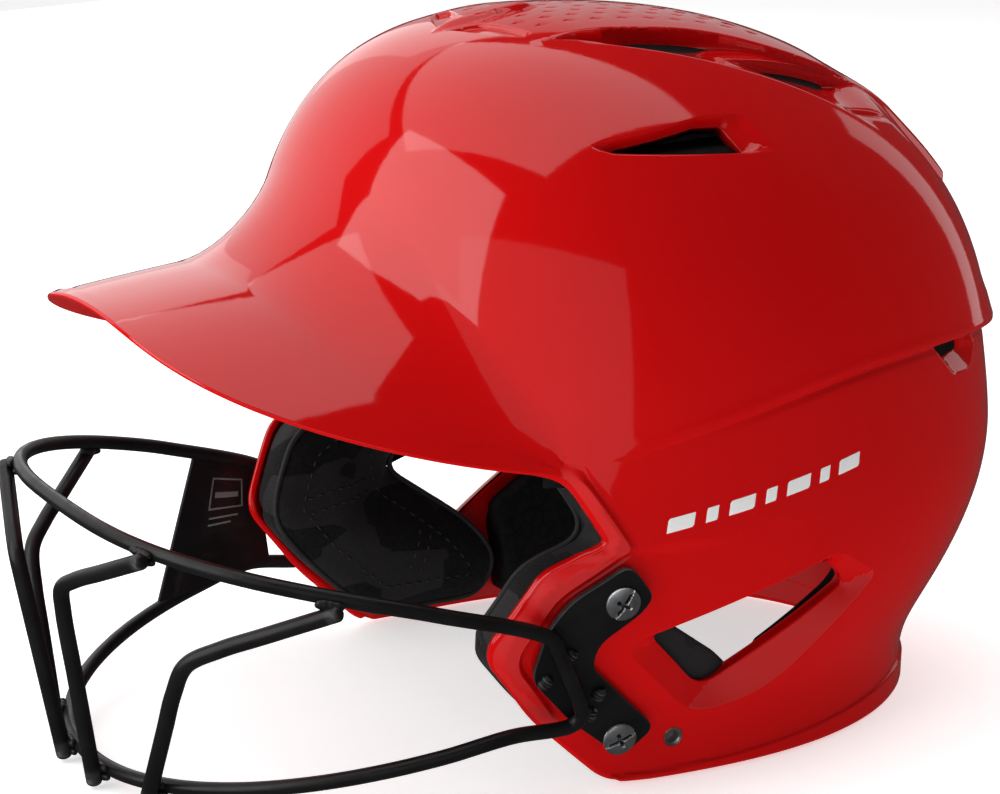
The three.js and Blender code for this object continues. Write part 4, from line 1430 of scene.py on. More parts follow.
def turned(profile, y, z, sides=40, spin=0.0):
    """A lathe shape about the surface's normal; profile gives [radius, height], closed on itself."""
    point, normal, first, second = spot_frame(y, z)
    angle = np.arange(sides) * 2 * PI / sides + spin
    profile = np.array(profile, float)
    ring = first * np.cos(angle)[:, None] + second * np.sin(angle)[:, None]
    points = point + ring[None] * profile[:, 0][:, None, None] + normal * profile[:, 1][:, None, None]
    index = np.arange(len(profile) * sides).reshape(len(profile), sides)
    return points.reshape(-1, 3), tube_quads(index, np.roll(index, -1, axis=0))


HEAD_RADIUS = 5.2
HEAD_HEIGHT = 2.0
SHANK_RADIUS = 2.5
THREAD_PITCH = 0.8
THREAD_TURNS = 9
SHANK_LENGTH = 8.6
SLOT_HALF = 0.52
RECESS_HALF = 0.5


def dome_height(x, y):
    r = np.hypot(x, y)
    return HEAD_HEIGHT * 0.8 * np.sqrt(np.maximum(1 - (r / (HEAD_RADIUS + 0.35)) ** 2, 0.0)) ** 0.9


def head_shape(x, y):
    """Height of a domed head with a slot right across it and a cross recess in the middle."""
    r = np.hypot(x, y)
    dome = dome_height(x, y)
    wall = 0.16
    slot = 1 - smoothstep(SLOT_HALF - wall, SLOT_HALF + wall, np.abs(y))
    cross = 1 - smoothstep(RECESS_HALF - wall, RECESS_HALF + wall, np.minimum(np.abs(x), np.abs(y)))
    cross *= 1 - smoothstep(2.2, 2.7, r)
    depth = np.maximum(0.95 * slot, (1.75 - 0.35 * r) * cross)
    return np.maximum(dome - depth, -0.15)


def screw_parts(y, z, spin):
    point, normal, first, second = spot_frame(y, z)
    seat = PLATE_OUTSET + PLATE_THICKNESS + 0.05
    rings, sides = 34, 132
    angle = np.arange(sides) * 2 * PI / sides
    radius = HEAD_RADIUS * np.sqrt(np.linspace(0.0008, 1, rings))
    x = radius[:, None] * np.cos(angle)
    w = radius[:, None] * np.sin(angle)
    height = head_shape(x, w)
    a = x * math.cos(spin) - w * math.sin(spin)
    b = x * math.sin(spin) + w * math.cos(spin)
    points = point + first * a[..., None] + second * b[..., None] + normal * (seat + 0.45 + height)[..., None]
    index = np.arange(rings * sides).reshape(rings, sides)
    faces = [index[0].tolist()] + ring_quads(index)
    head = (points.reshape(-1, 3), faces)
    low = seat + 0.45 + dome_height(HEAD_RADIUS, 0.0)
    skirt = [
        (0.05, seat - SHANK_LENGTH), (SHANK_RADIUS - 0.5, seat - SHANK_LENGTH),
        (SHANK_RADIUS, seat - SHANK_LENGTH + 0.6),
    ]
    for k in range(THREAD_TURNS):
        foot = seat - SHANK_LENGTH + 0.9 + k * THREAD_PITCH
        skirt += [(SHANK_RADIUS, foot), (SHANK_RADIUS - 0.35, foot + THREAD_PITCH / 2)]
    skirt += [
        (SHANK_RADIUS, seat - 0.4), (SHANK_RADIUS, seat), (HEAD_RADIUS - 0.3, seat),
        (HEAD_RADIUS, seat + 0.25), (HEAD_RADIUS, seat + 0.5), (HEAD_RADIUS - 0.25, low - 0.2),
        (0.05, low - 0.6),
    ]
    body = turned(skirt[::-1], y, z, 48)
    # Faces more than 0.3 mm deep in the slot or cross recess take the second, darker material: painted shade.
    deep_for_painted_shade = (dome_height(x, w) - height).ravel() > 0.3
    slots = [int(all(deep_for_painted_shade[k] for k in face)) for face in faces] + [0] * len(body[1])
    return [head, body], slots


def nut_parts(y, z):
    top = -SHELL_THICKNESS - 0.8
    low = top - 1.4
    flange = [
        (2.8, low + 0.3), (3.1, low), (6.1, low), (6.5, low + 0.4), (6.5, top - 0.3), (6.2, top), (4.3, top),
        (4.0, top + 0.3), (4.0, top + 2.8), (3.7, top + 3.2), (3.0, top + 3.2), (2.8, top + 2.9),
    ]
    return [turned(flange[::-1], y, z, 48)]


def insert_parts(y, z):
    profile = [
        (0.05, -3.5), (3.0, -3.6), (3.2, -3.4), (3.2, 0.1), (3.05, 0.35), (2.75, 0.4), (2.55, 0.25),
        (2.4, 0.25), (2.2, 0.1), (2.0, -0.3), (1.9, -0.6), (1.8, -2.4), (1.5, -2.8), (0.05, -2.9),
    ]
    return [turned(profile[::-1], y, z, 48)]


# ---- Liner ------------------------------------------------------------------------------------------
FLANK_PAD = [[12, 5, 3], [12, 35.6, 3], [41, 52.4, 4], [48, 66, 4], [63, 72, 4], [66, 5, 4]]
FLANK_THICKNESS = 13.5
FLANK_ROUND = 2.6


def side_spot(line, inset):
    """Points of the lining at an inset, where the side view of the wearer's left shows them at [y, z]."""
    y, z = np.asarray(line, float).T
    low, high = np.full(len(y), 0.3), np.full(len(y), PI)
    for _ in range(40):
        middle = (low + high) / 2
        ahead = lining_point(middle, z, inset)[:, 1] < y
        low, high = np.where(ahead, middle, low), np.where(ahead, high, middle)
    return lining_point(low, z, inset)


def sheet_block(edge, spacing, offsets, size, back_inset, face_inset):
    """A block between two insets inside an edge line, with its edges rounded over size."""
    flat, triangles = flat_sheet(edge, [], spacing, offsets)
    points = place(flat)
    fall = edge_drop(points, [edge], size)
    back = side_spot(points[:, 1:], back_inset(points) + 0.2 * fall)
    face = side_spot(points[:, 1:], face_inset - fall)
    faces = triangles.tolist()
    under = turned_over(faces, len(back))
    sides = []
    for loop in border_loops(faces):
        for a, b in zip(loop, loop[1:]):
            sides.append([b, a, a + len(back), b + len(back)])
    return np.concatenate([back, face]), faces + under + sides


def flank_block():
    """The foam behind and below the ear opening."""
    edge = side_line(FLANK_PAD, 2.0)
    face = LINER_INSET + FLANK_THICKNESS

    def back(points):
        near_hole = 1 - smoothstep(4, 9, ear_hole.distance(points, 10.0))
        return LINER_INSET + EAR_BEVEL_DEPTH * near_hole

    return sheet_block(edge, 3.0, (0.6, 1.4, 2.4, 3.6, 5.0), FLANK_ROUND, back, face)


LINER_INSET = SHELL_THICKNESS + 1
LINER_THICKNESS = 14.0
PAD_THICKNESS = 8.0
CROWN_LINER_Z = 196.0
PAD_INSET = LINER_INSET + LINER_THICKNESS + 0.5
LINER_ROUND = 4.5


def lining_point(angle, z, inset):
    below = 1 - smoothstep(step_height(angle) + 16, step_height(angle) + 44, z)
    return shell_point(angle, z, inset + step_depth(angle) * below)


def eased(count, sharp=2.4):
    """Steps from 0 to 1, closer together at both ends."""
    t = np.linspace(-1, 1, count + 1)
    return 0.5 + 0.5 * np.sign(t) * (1 - (1 - np.abs(t)) ** sharp)


def groove_depth(position, lines, width, depth):
    cut = np.zeros_like(position)
    for line in lines:
        cut = np.maximum(cut, depth * bump(position - line, width))
    return cut


def foam_block(at, long, high, columns, rows, thickness, groove_columns=(), groove_rows=()):
    """A moulded foam block: at(u, v, depth) gives its space, from its back (0) to its face (thickness)."""
    u, v = [g.ravel() for g in np.meshgrid(eased(columns), eased(rows), indexing="ij")]
    edge = np.minimum(np.minimum(u, 1 - u) * long, np.minimum(v, 1 - v) * high)
    fall = 1 - np.sqrt(1 - (1 - np.clip(edge / LINER_ROUND, 0, 1)) ** 2)
    cut = groove_depth(u * long, np.array(groove_columns) * long, 2.0, 4.2)
    cut = np.maximum(cut, groove_depth(v * high, np.array(groove_rows) * high, 2.0, 4.2))
    cut = cut * smoothstep(2, 9, edge)
    face = at(u, v, thickness - LINER_ROUND * fall - cut)
    back = at(u, v, 1.2 * fall)
    return np.concatenate([back, face]), slab_faces(columns + 1, rows + 1)


def lining_block(from_angle, to_angle, low_z, high_z, inset, thickness, columns, rows, **grooves):
    low, high = math.radians(from_angle), math.radians(to_angle)

    def at(u, v, depth):
        return lining_point(low + (high - low) * u, low_z + (high_z - low_z) * v, inset + depth)

    long = (high - low) * 95
    return foam_block(at, long, high_z - low_z, columns, rows, thickness, **grooves)


def crown_block(inset, thickness, low_z, columns, rows, spokes):
    """A domed cap with a rolled lower edge and sewn or moulded spokes."""
    part = (1 - (1 - np.linspace(0.004, 1, rows + 1)) ** 1.5) ** 0.8
    angle = np.arange(columns) * 2 * PI / columns
    part, angle = [g.ravel() for g in np.meshgrid(part, angle, indexing="ij")]
    length = 70.0
    edge = (1 - part) * length
    fall = 1 - np.sqrt(1 - (1 - np.clip(edge / LINER_ROUND, 0, 1)) ** 2)
    cut = np.zeros(len(part))
    if spokes:
        gap = np.abs(np.sin(angle * spokes / 2)) * part * length * 2 / spokes
        cut = 4.0 * np.exp(-((gap / 2.0) ** 2)) * smoothstep(0.1, 0.3, part) * smoothstep(2, 9, edge)

    def at(depth):
        rise = DOME_RISE - depth
        tilt = np.arccos(((low_z - EQUATOR_Z) / rise) ** (CROWN_POWER / 2)) * part
        return shell_point(angle, EQUATOR_Z + rise * np.cos(tilt) ** (2 / CROWN_POWER), depth)

    back, face = at(inset + 1.2 * fall), at(inset + thickness - LINER_ROUND * fall - cut)
    index = np.arange(len(part)).reshape(rows + 1, columns)
    quads = ring_quads(index) + [index[0].tolist()]
    under = turned_over(quads, len(part))
    ring = index[-1]
    sides = np.stack([ring, ring + len(part), np.roll(ring, -1) + len(part), np.roll(ring, -1)], -1).tolist()
    return np.concatenate([back, face]), quads + under + sides


# ---- Padded fabric ----------------------------------------------------------------------------------
SWELL_LIMIT = 6.0
WALL_ALLOWANCE = 0.4


def evaluated(piece):
    depsgraph = bpy.context.evaluated_depsgraph_get()
    return bpy.data.meshes.new_from_object(piece.evaluated_get(depsgraph))


def settle(piece):
    """Applies the piece's modifiers to its mesh."""
    mesh = evaluated(piece)
    piece.modifiers.clear()
    piece.data = mesh


def points_of(mesh):
    points = np.empty(len(mesh.vertices) * 3)
    mesh.vertices.foreach_get("co", points)
    return points.reshape(-1, 3)


def set_points(mesh, points):
    mesh.vertices.foreach_set("co", points.ravel())
    mesh.update()


def normals_of(mesh):
    normals = np.empty(len(mesh.vertices) * 3)
    mesh.vertices.foreach_get("normal", normals)
    return normals.reshape(-1, 3)


def inflate(piece, pressure):
    """Swells the piece as cloth under pressure, keeps it off the liner behind it, and applies the result."""
    scene = bpy.context.scene
    rest = points_of(piece.data)
    cloth = piece.modifiers.new("cloth", "CLOTH")
    cloth.settings.quality = 6
    cloth.settings.mass = 0.25
    cloth.settings.tension_stiffness = 12
    cloth.settings.compression_stiffness = 12
    cloth.settings.bending_stiffness = 0.4
    cloth.settings.use_pressure = True
    cloth.settings.uniform_pressure_force = pressure
    cloth.settings.effector_weights.gravity = 0
    for step in range(1, 21):
        scene.frame_set(step)
    swollen = points_of(evaluated(piece))
    piece.modifiers.clear()
    scene.frame_set(1)
    move = (swollen - rest) / MM
    out = unit(rest / MM - [0, EAR_LINE_Y, EQUATOR_Z])
    outward = (move * out).sum(1, keepdims=True)
    move -= out * np.maximum(outward - WALL_ALLOWANCE, 0.0)
    length = np.linalg.norm(move, axis=1, keepdims=True)
    move *= np.minimum(1.0, SWELL_LIMIT / np.maximum(length, 1e-6))
    set_points(piece.data, rest + move * MM)


def stuffed_pad(name, points, faces, pressure=4.0):
    """A stuffed pad from a plain closed block: swollen as cloth and smoothed."""
    piece = add_piece(name, points, faces, [fabric_black])
    inflate(piece, pressure)
    smooth = piece.modifiers.new("smooth", "SMOOTH")
    smooth.factor = 0.5
    smooth.iterations = 2
    refine = piece.modifiers.new("refine", "SUBSURF")
    refine.levels = 2
    refine.render_levels = 2
    settle(piece)
    piece.data.polygons.foreach_set("use_smooth", [True] * len(piece.data.polygons))
    return piece


def line_gap(points, line):
    """Distance in the plane from points to a run of straight pieces."""
    line = np.asarray(line, float)
    start, run = line[:-1], np.diff(line, axis=0)
    offset = points[:, None] - start
    t = np.clip((offset * run).sum(-1) / (run * run).sum(1), 0, 1)
    return np.linalg.norm(offset - t[..., None] * run, axis=-1).min(1)


def in_mm(mesh):
    return points_of(mesh) / MM - [0, EAR_LINE_Y, 0]


def sew(piece, gap, depth, width):
    """Pulls a channel into the piece where gap, the distance in mm from the seam, is small."""
    sink = depth * np.exp(-((gap / width) ** 2))
    set_points(piece.data, points_of(piece.data) - normals_of(piece.data) * sink[:, None] * MM)


def laid_on(piece, path, lift):
    """The path moved onto the piece's surface, in mm about the ear line."""
    mesh = piece.data
    tree = BVHTree.FromPolygons([v.co for v in mesh.vertices], [list(f.vertices) for f in mesh.polygons])
    laid = []
    for point in metres(path):
        spot, normal, _, _ = tree.find_nearest(Vector(point))
        laid.append(np.array(spot) / MM - [0, EAR_LINE_Y, 0] + np.array(normal) * lift)
    return np.array(laid)


def even_path(path, spacing, closed):
    """Points at even distances along a path."""
    if closed:
        path = np.concatenate([path, path[:1]])
    length = np.concatenate([[0.0], np.cumsum(np.linalg.norm(np.diff(path, axis=0), axis=1))])
    count = max(4, round(length[-1] / spacing))
    at = np.linspace(0, length[-1], count + 1)
    even = np.stack([np.interp(at, length, path[:, k]) for k in range(3)], -1)
    return even[:-1] if closed else even


def blurred(path, rounds):
    for _ in range(rounds):
        path = (np.roll(path, 1, axis=0) + path * 2 + np.roll(path, -1, axis=0)) / 4
    return path


PIPING_RADIUS = 0.95
STITCH_LONG = 2.6
STITCH_GAP = 1.5


def piping(piece, guess):
    path = blurred(laid_on(piece, even_path(guess, 2.0, True), 0.0), 6)
    path = laid_on(piece, path, 0.35)
    return sweep(blurred(path, 2), PIPING_RADIUS, True, 10)


def stitches(piece, guess, closed):
    """A row of short threads lying on the piece along a line."""
    laid = laid_on(piece, even_path(guess, 2.0, closed), 0.12)
    path = even_path(laid, (STITCH_LONG + STITCH_GAP) / 4, closed)
    parts = []
    for k in range(0, len(path) - 3, 4):
        parts.append(sweep(path[k : k + 3], np.array([0.16, 0.34, 0.16]), sides=6))
    return parts


EAR_PAD = [
    [-60, 101, 3], [-48.7, 82.4, 4], [-68.1, 73.2, 5], [-81.3, 47.5, 9], [-64.5, 26.5, 8], [-42, 6, 6],
    [3, 4, 8], [11, 19, 8], [0, 34, 8], [-28, 56, 3], [-14, 66, 4], [4, 80, 6], [8, 94, 3],
]
EAR_PAD_BACK = SHELL_THICKNESS + 4.8
EAR_PAD_ROUND = 7.5
EAR_PAD_FACE = EAR_PAD_BACK + 12.0
EAR_PAD_SEAMS = [((-77, 48), (-32, 52)), ((-17, 68), (-30, 95)), ((-15, 43), (-30, 12))]
BORDER_SEAM = 9.0


def shrunk_outline(corners, distance):
    """A rounded side-view outline moved inwards."""
    line = rounded([[a, b, r] for a, b, r in corners], 1.5)
    run = np.roll(line, -1, axis=0) - np.roll(line, 1, axis=0)
    side = unit(np.stack([-run[:, 1], run[:, 0]], -1))
    moved = line + side * distance
    whole = np.concatenate([line, line[:1]])
    if line_gap(moved, whole).mean() < 0.6 * distance or np.ptp(moved[:, 0]) > np.ptp(line[:, 0]):
        moved = line - side * distance
    return moved[line_gap(moved, whole) > 0.9 * distance]


def ear_pad_back(points):
    """The pad stands clear of the T-nuts, but its front border reaches back to the shell."""
    near_rim = 1 - smoothstep(2, 7, opening_edge.distance(points, 8.0))
    return EAR_PAD_BACK - (EAR_PAD_BACK - SHELL_THICKNESS - 0.6) * near_rim


def make_ear_pad(side):
    edge = side_line(EAR_PAD, 2.6)
    points, faces = sheet_block(edge, 3.8, (1.0, 2.4, 4.2, 6.6), EAR_PAD_ROUND, ear_pad_back, EAR_PAD_FACE)
    if side == "right":
        points, faces = flipped(points, faces)
    piece = stuffed_pad(f"ear_cushion_{side}", points, faces)
    flip = -1.0 if side == "right" else 1.0
    outline = shrunk_outline(EAR_PAD, BORDER_SEAM)
    closed_outline = np.concatenate([outline, outline[:1]])
    x = points_of(piece.data)[:, 0]
    inward = -flip * x * normals_of(piece.data)[:, 0] / np.abs(x).clip(1e-6)
    on_face = smoothstep(-0.1, 0.35, inward)
    for line, depth in [(closed_outline, 1.7), *[(seam, 1.3) for seam in EAR_PAD_SEAMS]]:
        gap = line_gap(in_mm(piece.data)[:, 1:], line)
        sew(piece, gap + 99 * (on_face < 0.02), depth, 1.9)
    mirror = np.array([flip, 1.0, 1.0])
    edge = side_spot(rounded(EAR_PAD, 2.0), EAR_PAD_FACE - 2.5) * mirror
    trim = [piping(piece, edge)]
    face_line = side_spot(shrunk_outline(EAR_PAD, BORDER_SEAM + 2.4), EAR_PAD_FACE) * mirror
    trim += stitches(piece, face_line, True)
    for start, end in np.array(EAR_PAD_SEAMS, float):
        along = unit(end - start)
        for sign in (1, -1):
            beside = np.array([-along[1], along[0]]) * sign * 2.3
            row = np.linspace(start + along * 12 + beside, end - along * 6 + beside, 14)
            trim += stitches(piece, side_spot(row, EAR_PAD_FACE) * mirror, False)
    return piece, trim


def lining_path(from_angle, to_angle, low_z, high_z, inset):
    """The border of a lining pad's face, as one closed path."""
    a, b = math.radians(from_angle), math.radians(to_angle)
    angles = np.concatenate([np.linspace(a, b, 40), np.full(16, b), np.linspace(b, a, 40), np.full(16, a)])
    rise = np.linspace(low_z, high_z, 16)
    heights = np.concatenate([np.full(40, low_z), rise, np.full(40, high_z), rise[::-1]])
    return lining_point(angles, heights, inset)


def make_lining_pad(name, from_angle, to_angle, low_z, high_z, seams):
    columns, rows = round((to_angle - from_angle) * 0.42), round((high_z - low_z) / 3.8)
    block = lining_block(from_angle, to_angle, low_z, high_z, PAD_INSET, PAD_THICKNESS, columns, rows)
    piece = stuffed_pad(name, *block)
    points = in_mm(piece.data)
    angle = np.degrees(np.arctan2(points[:, 0], -points[:, 1])) % 360
    for seam in seams:
        gap = np.abs((angle - seam + 180) % 360 - 180) * 1.4
        sew(piece, gap, 1.8, 2.0)
    inset = PAD_INSET + PAD_THICKNESS
    trim = [piping(piece, lining_path(from_angle, to_angle, low_z, high_z, inset - 2))]
    for seam in seams:
        for offset in (-1.9, 1.9):
            heights = np.linspace(low_z + 4, high_z - 4, 24)
            row = lining_point(np.full(24, math.radians(seam + offset)), heights, inset)
            trim += stitches(piece, row, False)
    return piece, trim


CROWN_PAD_SPOKES = 6
CROWN_PAD_Z = 192.0


def make_crown_pad():
    piece = stuffed_pad("crown_cushion", *crown_block(PAD_INSET, PAD_THICKNESS, CROWN_PAD_Z, 54, 15, 0))
    points = in_mm(piece.data) - [0, CROWN_SHIFT, 0]
    angle = np.arctan2(points[:, 0], -points[:, 1])
    radius = np.hypot(points[:, 0], points[:, 1])
    gap = np.abs(np.sin(angle * CROWN_PAD_SPOKES / 2)) * radius * 2 / CROWN_PAD_SPOKES
    sew(piece, gap + 99 * (radius < 18), 1.8, 2.0)
    sew(piece, np.abs(radius - 18), 1.5, 1.9)
    inset = PAD_INSET + PAD_THICKNESS
    around = np.linspace(0, 2 * PI, 121)[:-1]
    trim = [piping(piece, shell_point(around, np.full(120, 191.0), inset - 2))]
    ring = np.stack([21 * np.sin(around), CROWN_SHIFT - 21 * np.cos(around), np.full(120, 190.0)], -1)
    trim += stitches(piece, ring, True)
    return piece, trim


# ---- Materials --------------------------------------------------------------------------------------
class Paint:
    """A Principled material and the procedural textures wired into it."""

    def __init__(self, name, colour, roughness, metallic=0.0, specular=0.5):
        self.material = bpy.data.materials.new(name)
        self.material.use_nodes = True
        self.tree = self.material.node_tree
        self.shader = self.tree.nodes["Principled BSDF"]
        self.shader.inputs["Base Color"].default_value = (*colour, 1)
        self.shader.inputs["Roughness"].default_value = roughness
        self.shader.inputs["Metallic"].default_value = metallic
        self.shader.inputs["Specular IOR Level"].default_value = specular
        self.where = self.tree.nodes.new("ShaderNodeTexCoord").outputs["Object"]

    def node(self, kind, links=(), **settings):
        node = self.tree.nodes.new(f"ShaderNode{kind}")
        for key, value in settings.items():
            if key.islower():
                setattr(node, key, value)
            else:
                node.inputs[key.replace("_", " ")].default_value = value
        for name, output in dict(links).items():
            self.tree.links.new(output, node.inputs[name])
        return node

    def noise(self, scale, detail=3.0, rough=0.5, stretch_by=None):
        where = self.where
        if stretch_by:
            where = self.node("Mapping", {"Vector": where}, Scale=stretch_by).outputs[0]
        node = self.node("TexNoise", {"Vector": where}, Scale=scale, Detail=detail, Roughness=rough)
        return node.outputs["Fac"]

    def cells(self, scale, feature="F1", metric="EUCLIDEAN", out="Distance", stretch_by=None):
        where = self.where
        if stretch_by:
            where = self.node("Mapping", {"Vector": where}, Scale=stretch_by).outputs[0]
        node = self.node("TexVoronoi", {"Vector": where}, feature=feature, distance=metric, Scale=scale)
        return node.outputs[out]

    def spread(self, value, low, high, to_low, to_high):
        """value between low and high becomes to_low to to_high, held at both ends."""
        node = self.node("MapRange", {"Value": value})
        for name, number in zip(("From Min", "From Max", "To Min", "To Max"), (low, high, to_low, to_high)):
            node.inputs[name].default_value = number
        return node.outputs["Result"]

    def combine(self, kind, a, b):
        node = self.node("Math", operation=kind)
        for socket, value in zip(node.inputs, (a, b)):
            if isinstance(value, (int, float)):
                socket.default_value = value
            else:
                self.tree.links.new(value, socket)
        return node.outputs[0]

    def colour(self, share, first, second):
        """Blends two colours, each a colour or a socket, by share."""
        node = self.node("Mix", data_type="RGBA")
        self.tree.links.new(share, node.inputs[0])
        for socket, value in zip((node.inputs[6], node.inputs[7]), (first, second)):
            if isinstance(value, tuple):
                socket.default_value = (*value, 1)
            else:
                self.tree.links.new(value, socket)
        return node.outputs[2]

    def set(self, name, output):
        self.tree.links.new(output, self.shader.inputs[name])

    def bump(self, height, strength, distance_mm, after=None):
        node = self.node("Bump", {"Height": height}, Strength=strength, Distance=distance_mm * MM)
        if after is not None:
            self.tree.links.new(after, node.inputs["Normal"])
        self.set("Normal", node.outputs[0])
        return node.outputs[0]

    def edges(self, low, high):
        """1 along sharp outer edges, 0 elsewhere."""
        return self.spread(self.node("NewGeometry").outputs["Pointiness"], low, high, 0, 1)


RED = (0.57, 0.0021, 0.0029)


def gloss_red(name, roughness, scuffs):
    paint = Paint(name, RED, roughness)
    cloud = paint.noise(9.0, 3.0)
    flecks = paint.noise(900.0, 2.0)
    base = paint.colour(paint.spread(cloud, 0.3, 0.7, 0, 1), (0.555, 0.0018, 0.0025), (0.595, 0.0026, 0.0034))
    patches = paint.spread(paint.noise(60.0), 0.45, 0.7, 0, 0.35)
    worn = paint.combine("MULTIPLY", paint.edges(0.56, 0.66), patches)
    paint.set("Base Color", paint.colour(worn, base, (0.70, 0.035, 0.035)))
    scratch = paint.noise(55.0, 6.0, 0.7, stretch_by=(1.0, 6.0, 1.0))
    haze = paint.spread(scratch, 0.52, 0.8, roughness, roughness + scuffs)
    paint.set("Roughness", paint.combine("ADD", haze, paint.spread(flecks, 0.4, 0.8, 0.0, 0.02)))
    peel = paint.bump(paint.noise(160.0, 2.0), 0.035, 0.5)
    paint.bump(flecks, 0.02, 0.1, peel)
    return paint.material


def coated_black(name, base, roughness, grain, edge_grey):
    paint = Paint(name, base, roughness, specular=0.3)
    lighter = tuple(c * 1.7 for c in base)
    dusty = paint.colour(paint.spread(paint.noise(70.0, 4.0), 0.35, 0.7, 0, 1), base, lighter)
    patches = paint.spread(paint.noise(220.0), 0.3, 0.6, 0.4, 1)
    worn = paint.combine("MULTIPLY", paint.edges(0.53, 0.60), patches)
    paint.set("Base Color", paint.colour(worn, dusty, (edge_grey,) * 3))
    paint.set("Roughness", paint.spread(paint.noise(180.0, 4.0), 0.3, 0.7, roughness - 0.06, roughness + 0.1))
    soft = paint.bump(paint.cells(grain, "SMOOTH_F1"), 0.22, 0.12)
    paint.bump(paint.noise(grain * 2.2, 3.0), 0.14, 0.08, soft)
    return paint.material


def bare_steel():
    paint = Paint("bolt_steel", (0.60, 0.61, 0.63), 0.3, 1.0)
    grain = paint.noise(1500.0, 3.0, 0.7)
    stain = paint.spread(paint.noise(260.0, 4.0), 0.45, 0.75, 0, 1)
    paint.set("Base Color", paint.colour(stain, (0.80, 0.81, 0.83), (0.50, 0.50, 0.52)))
    paint.set("Roughness", paint.spread(grain, 0.3, 0.7, 0.34, 0.6))
    paint.bump(grain, 0.35, 0.1)
    return paint.material


def dull_metal(name, colour, roughness):
    paint = Paint(name, colour, roughness, 1.0)
    stain = paint.spread(paint.noise(420.0, 4.0), 0.35, 0.7, 0, 1)
    paint.set("Base Color", paint.colour(stain, colour, tuple(c * 0.45 for c in colour)))
    paint.set("Roughness", paint.spread(paint.noise(900.0), 0.3, 0.7, roughness - 0.08, roughness + 0.12))
    paint.bump(paint.noise(1400.0), 0.2, 0.08)
    return paint.material


def foam():
    paint = Paint("foam_black", (0.013, 0.013, 0.014), 0.82, specular=0.15)
    pores = paint.cells(620.0)
    beads = paint.cells(230.0, "DISTANCE_TO_EDGE")
    face = paint.spread(beads, 0.0, 0.12, 0, 1)
    paint.set("Base Color", paint.colour(face, (0.0045, 0.0045, 0.005), (0.0075, 0.0075, 0.008)))
    paint.set("Roughness", paint.spread(paint.noise(120.0), 0.3, 0.7, 0.72, 0.92))
    rough = paint.bump(paint.spread(beads, 0.0, 0.15, 0, 1), 0.14, 0.3)
    paint.bump(pores, 0.3, 0.15, rough)
    return paint.material


def fabric():
    paint = Paint("pad_fabric", (0.012, 0.012, 0.013), 0.78, specular=0.15)
    paint.shader.inputs["Sheen Weight"].default_value = 0.04
    paint.shader.inputs["Sheen Roughness"].default_value = 0.55
    shapes = paint.cells(62.0, "F1", "CHEBYCHEV", "Color", (1.0, 0.55, 1.0))
    split = paint.node("SeparateColor", {"Color": shapes}).outputs[0]
    print_share = paint.spread(split, 0.5, 0.52, 0, 1)
    threads = paint.node("TexWave", {"Vector": paint.where}, Scale=420.0, bands_direction="Z").outputs["Fac"]
    cross = paint.node("TexWave", {"Vector": paint.where}, Scale=420.0, bands_direction="Y").outputs["Fac"]
    weave = paint.combine("MULTIPLY", threads, cross)
    printed = paint.colour(print_share, (0.003, 0.003, 0.0033), (0.017, 0.017, 0.018))
    fuzz = paint.spread(paint.noise(900.0, 2.0), 0.3, 0.7, 0, 0.35)
    paint.set("Base Color", paint.colour(fuzz, printed, (0.018, 0.018, 0.019)))
    paint.set("Roughness", paint.spread(print_share, 0, 1, 0.82, 0.6))
    woven = paint.bump(weave, 0.5, 0.16)
    paint.bump(paint.noise(130.0, 4.0), 0.25, 0.5, woven)
    return paint.material


def white_ink():
    paint = Paint("mark_white", (0.86, 0.86, 0.85), 0.35)
    paint.set("Base Color", paint.colour(paint.noise(150.0, 4.0), (0.80, 0.80, 0.79), (0.90, 0.90, 0.89)))
    paint.set("Roughness", paint.spread(paint.noise(300.0), 0.3, 0.7, 0.28, 0.45))
    paint.bump(paint.noise(700.0), 0.08, 0.05)
    return paint.material


shell_red = gloss_red("shell_red", 0.055, 0.05)
shell_inside = gloss_red("shell_inside", 0.3, 0.12)
shell_satin = gloss_red("shell_satin", 0.28, 0.03)
wire_black = coated_black("wire_black", (0.005, 0.005, 0.0055), 0.34, 900.0, 0.03)
plate_black = coated_black("plate_black", (0.005, 0.005, 0.0055), 0.42, 1100.0, 0.16)
steel = bare_steel()
# A darker steel for the faces deep in the screw heads' slot and cross recess: painted shade in the recess.
recess_painted_shade = dull_metal("bolt_recess_painted_shade", (0.13, 0.13, 0.135), 0.5)
socket_steel = dull_metal("socket_steel", (0.72, 0.66, 0.64), 0.4)
sticker_black = coated_black("sticker_black", (0.007, 0.007, 0.0075), 0.3, 600.0, 0.02)
sticker_grey = coated_black("sticker_grey", (0.10, 0.10, 0.105), 0.5, 600.0, 0.15)
foam_black = foam()
fabric_black = fabric()
mark_white = white_ink()

# ---- Pieces -----------------------------------------------------------------------------------------
SIDES = ("left", "right")
SHARP = math.radians(38)
CRISP = math.radians(15)


def fit(piece, slot, *nodes):
    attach(piece, "root")
    if nodes:
        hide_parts(*nodes)
    return piece


def add_pair(name, parts, materials, slot, node, slots=None, crease=None):
    """A piece on the wearer's left and its mirror image on the right; node is a pattern with {side}."""
    points, faces = join_parts(parts)
    for side in SIDES:
        if side == "right":
            points, faces = flipped(points, faces)
        piece = add_piece(name.format(side=side), points, faces, materials, slots, crease=crease)
        fit(piece, slot, node.format(side=side))


shell = build_shell([shell_red, shell_inside, shell_satin])
fit(shell, "shell", "outer_shell")

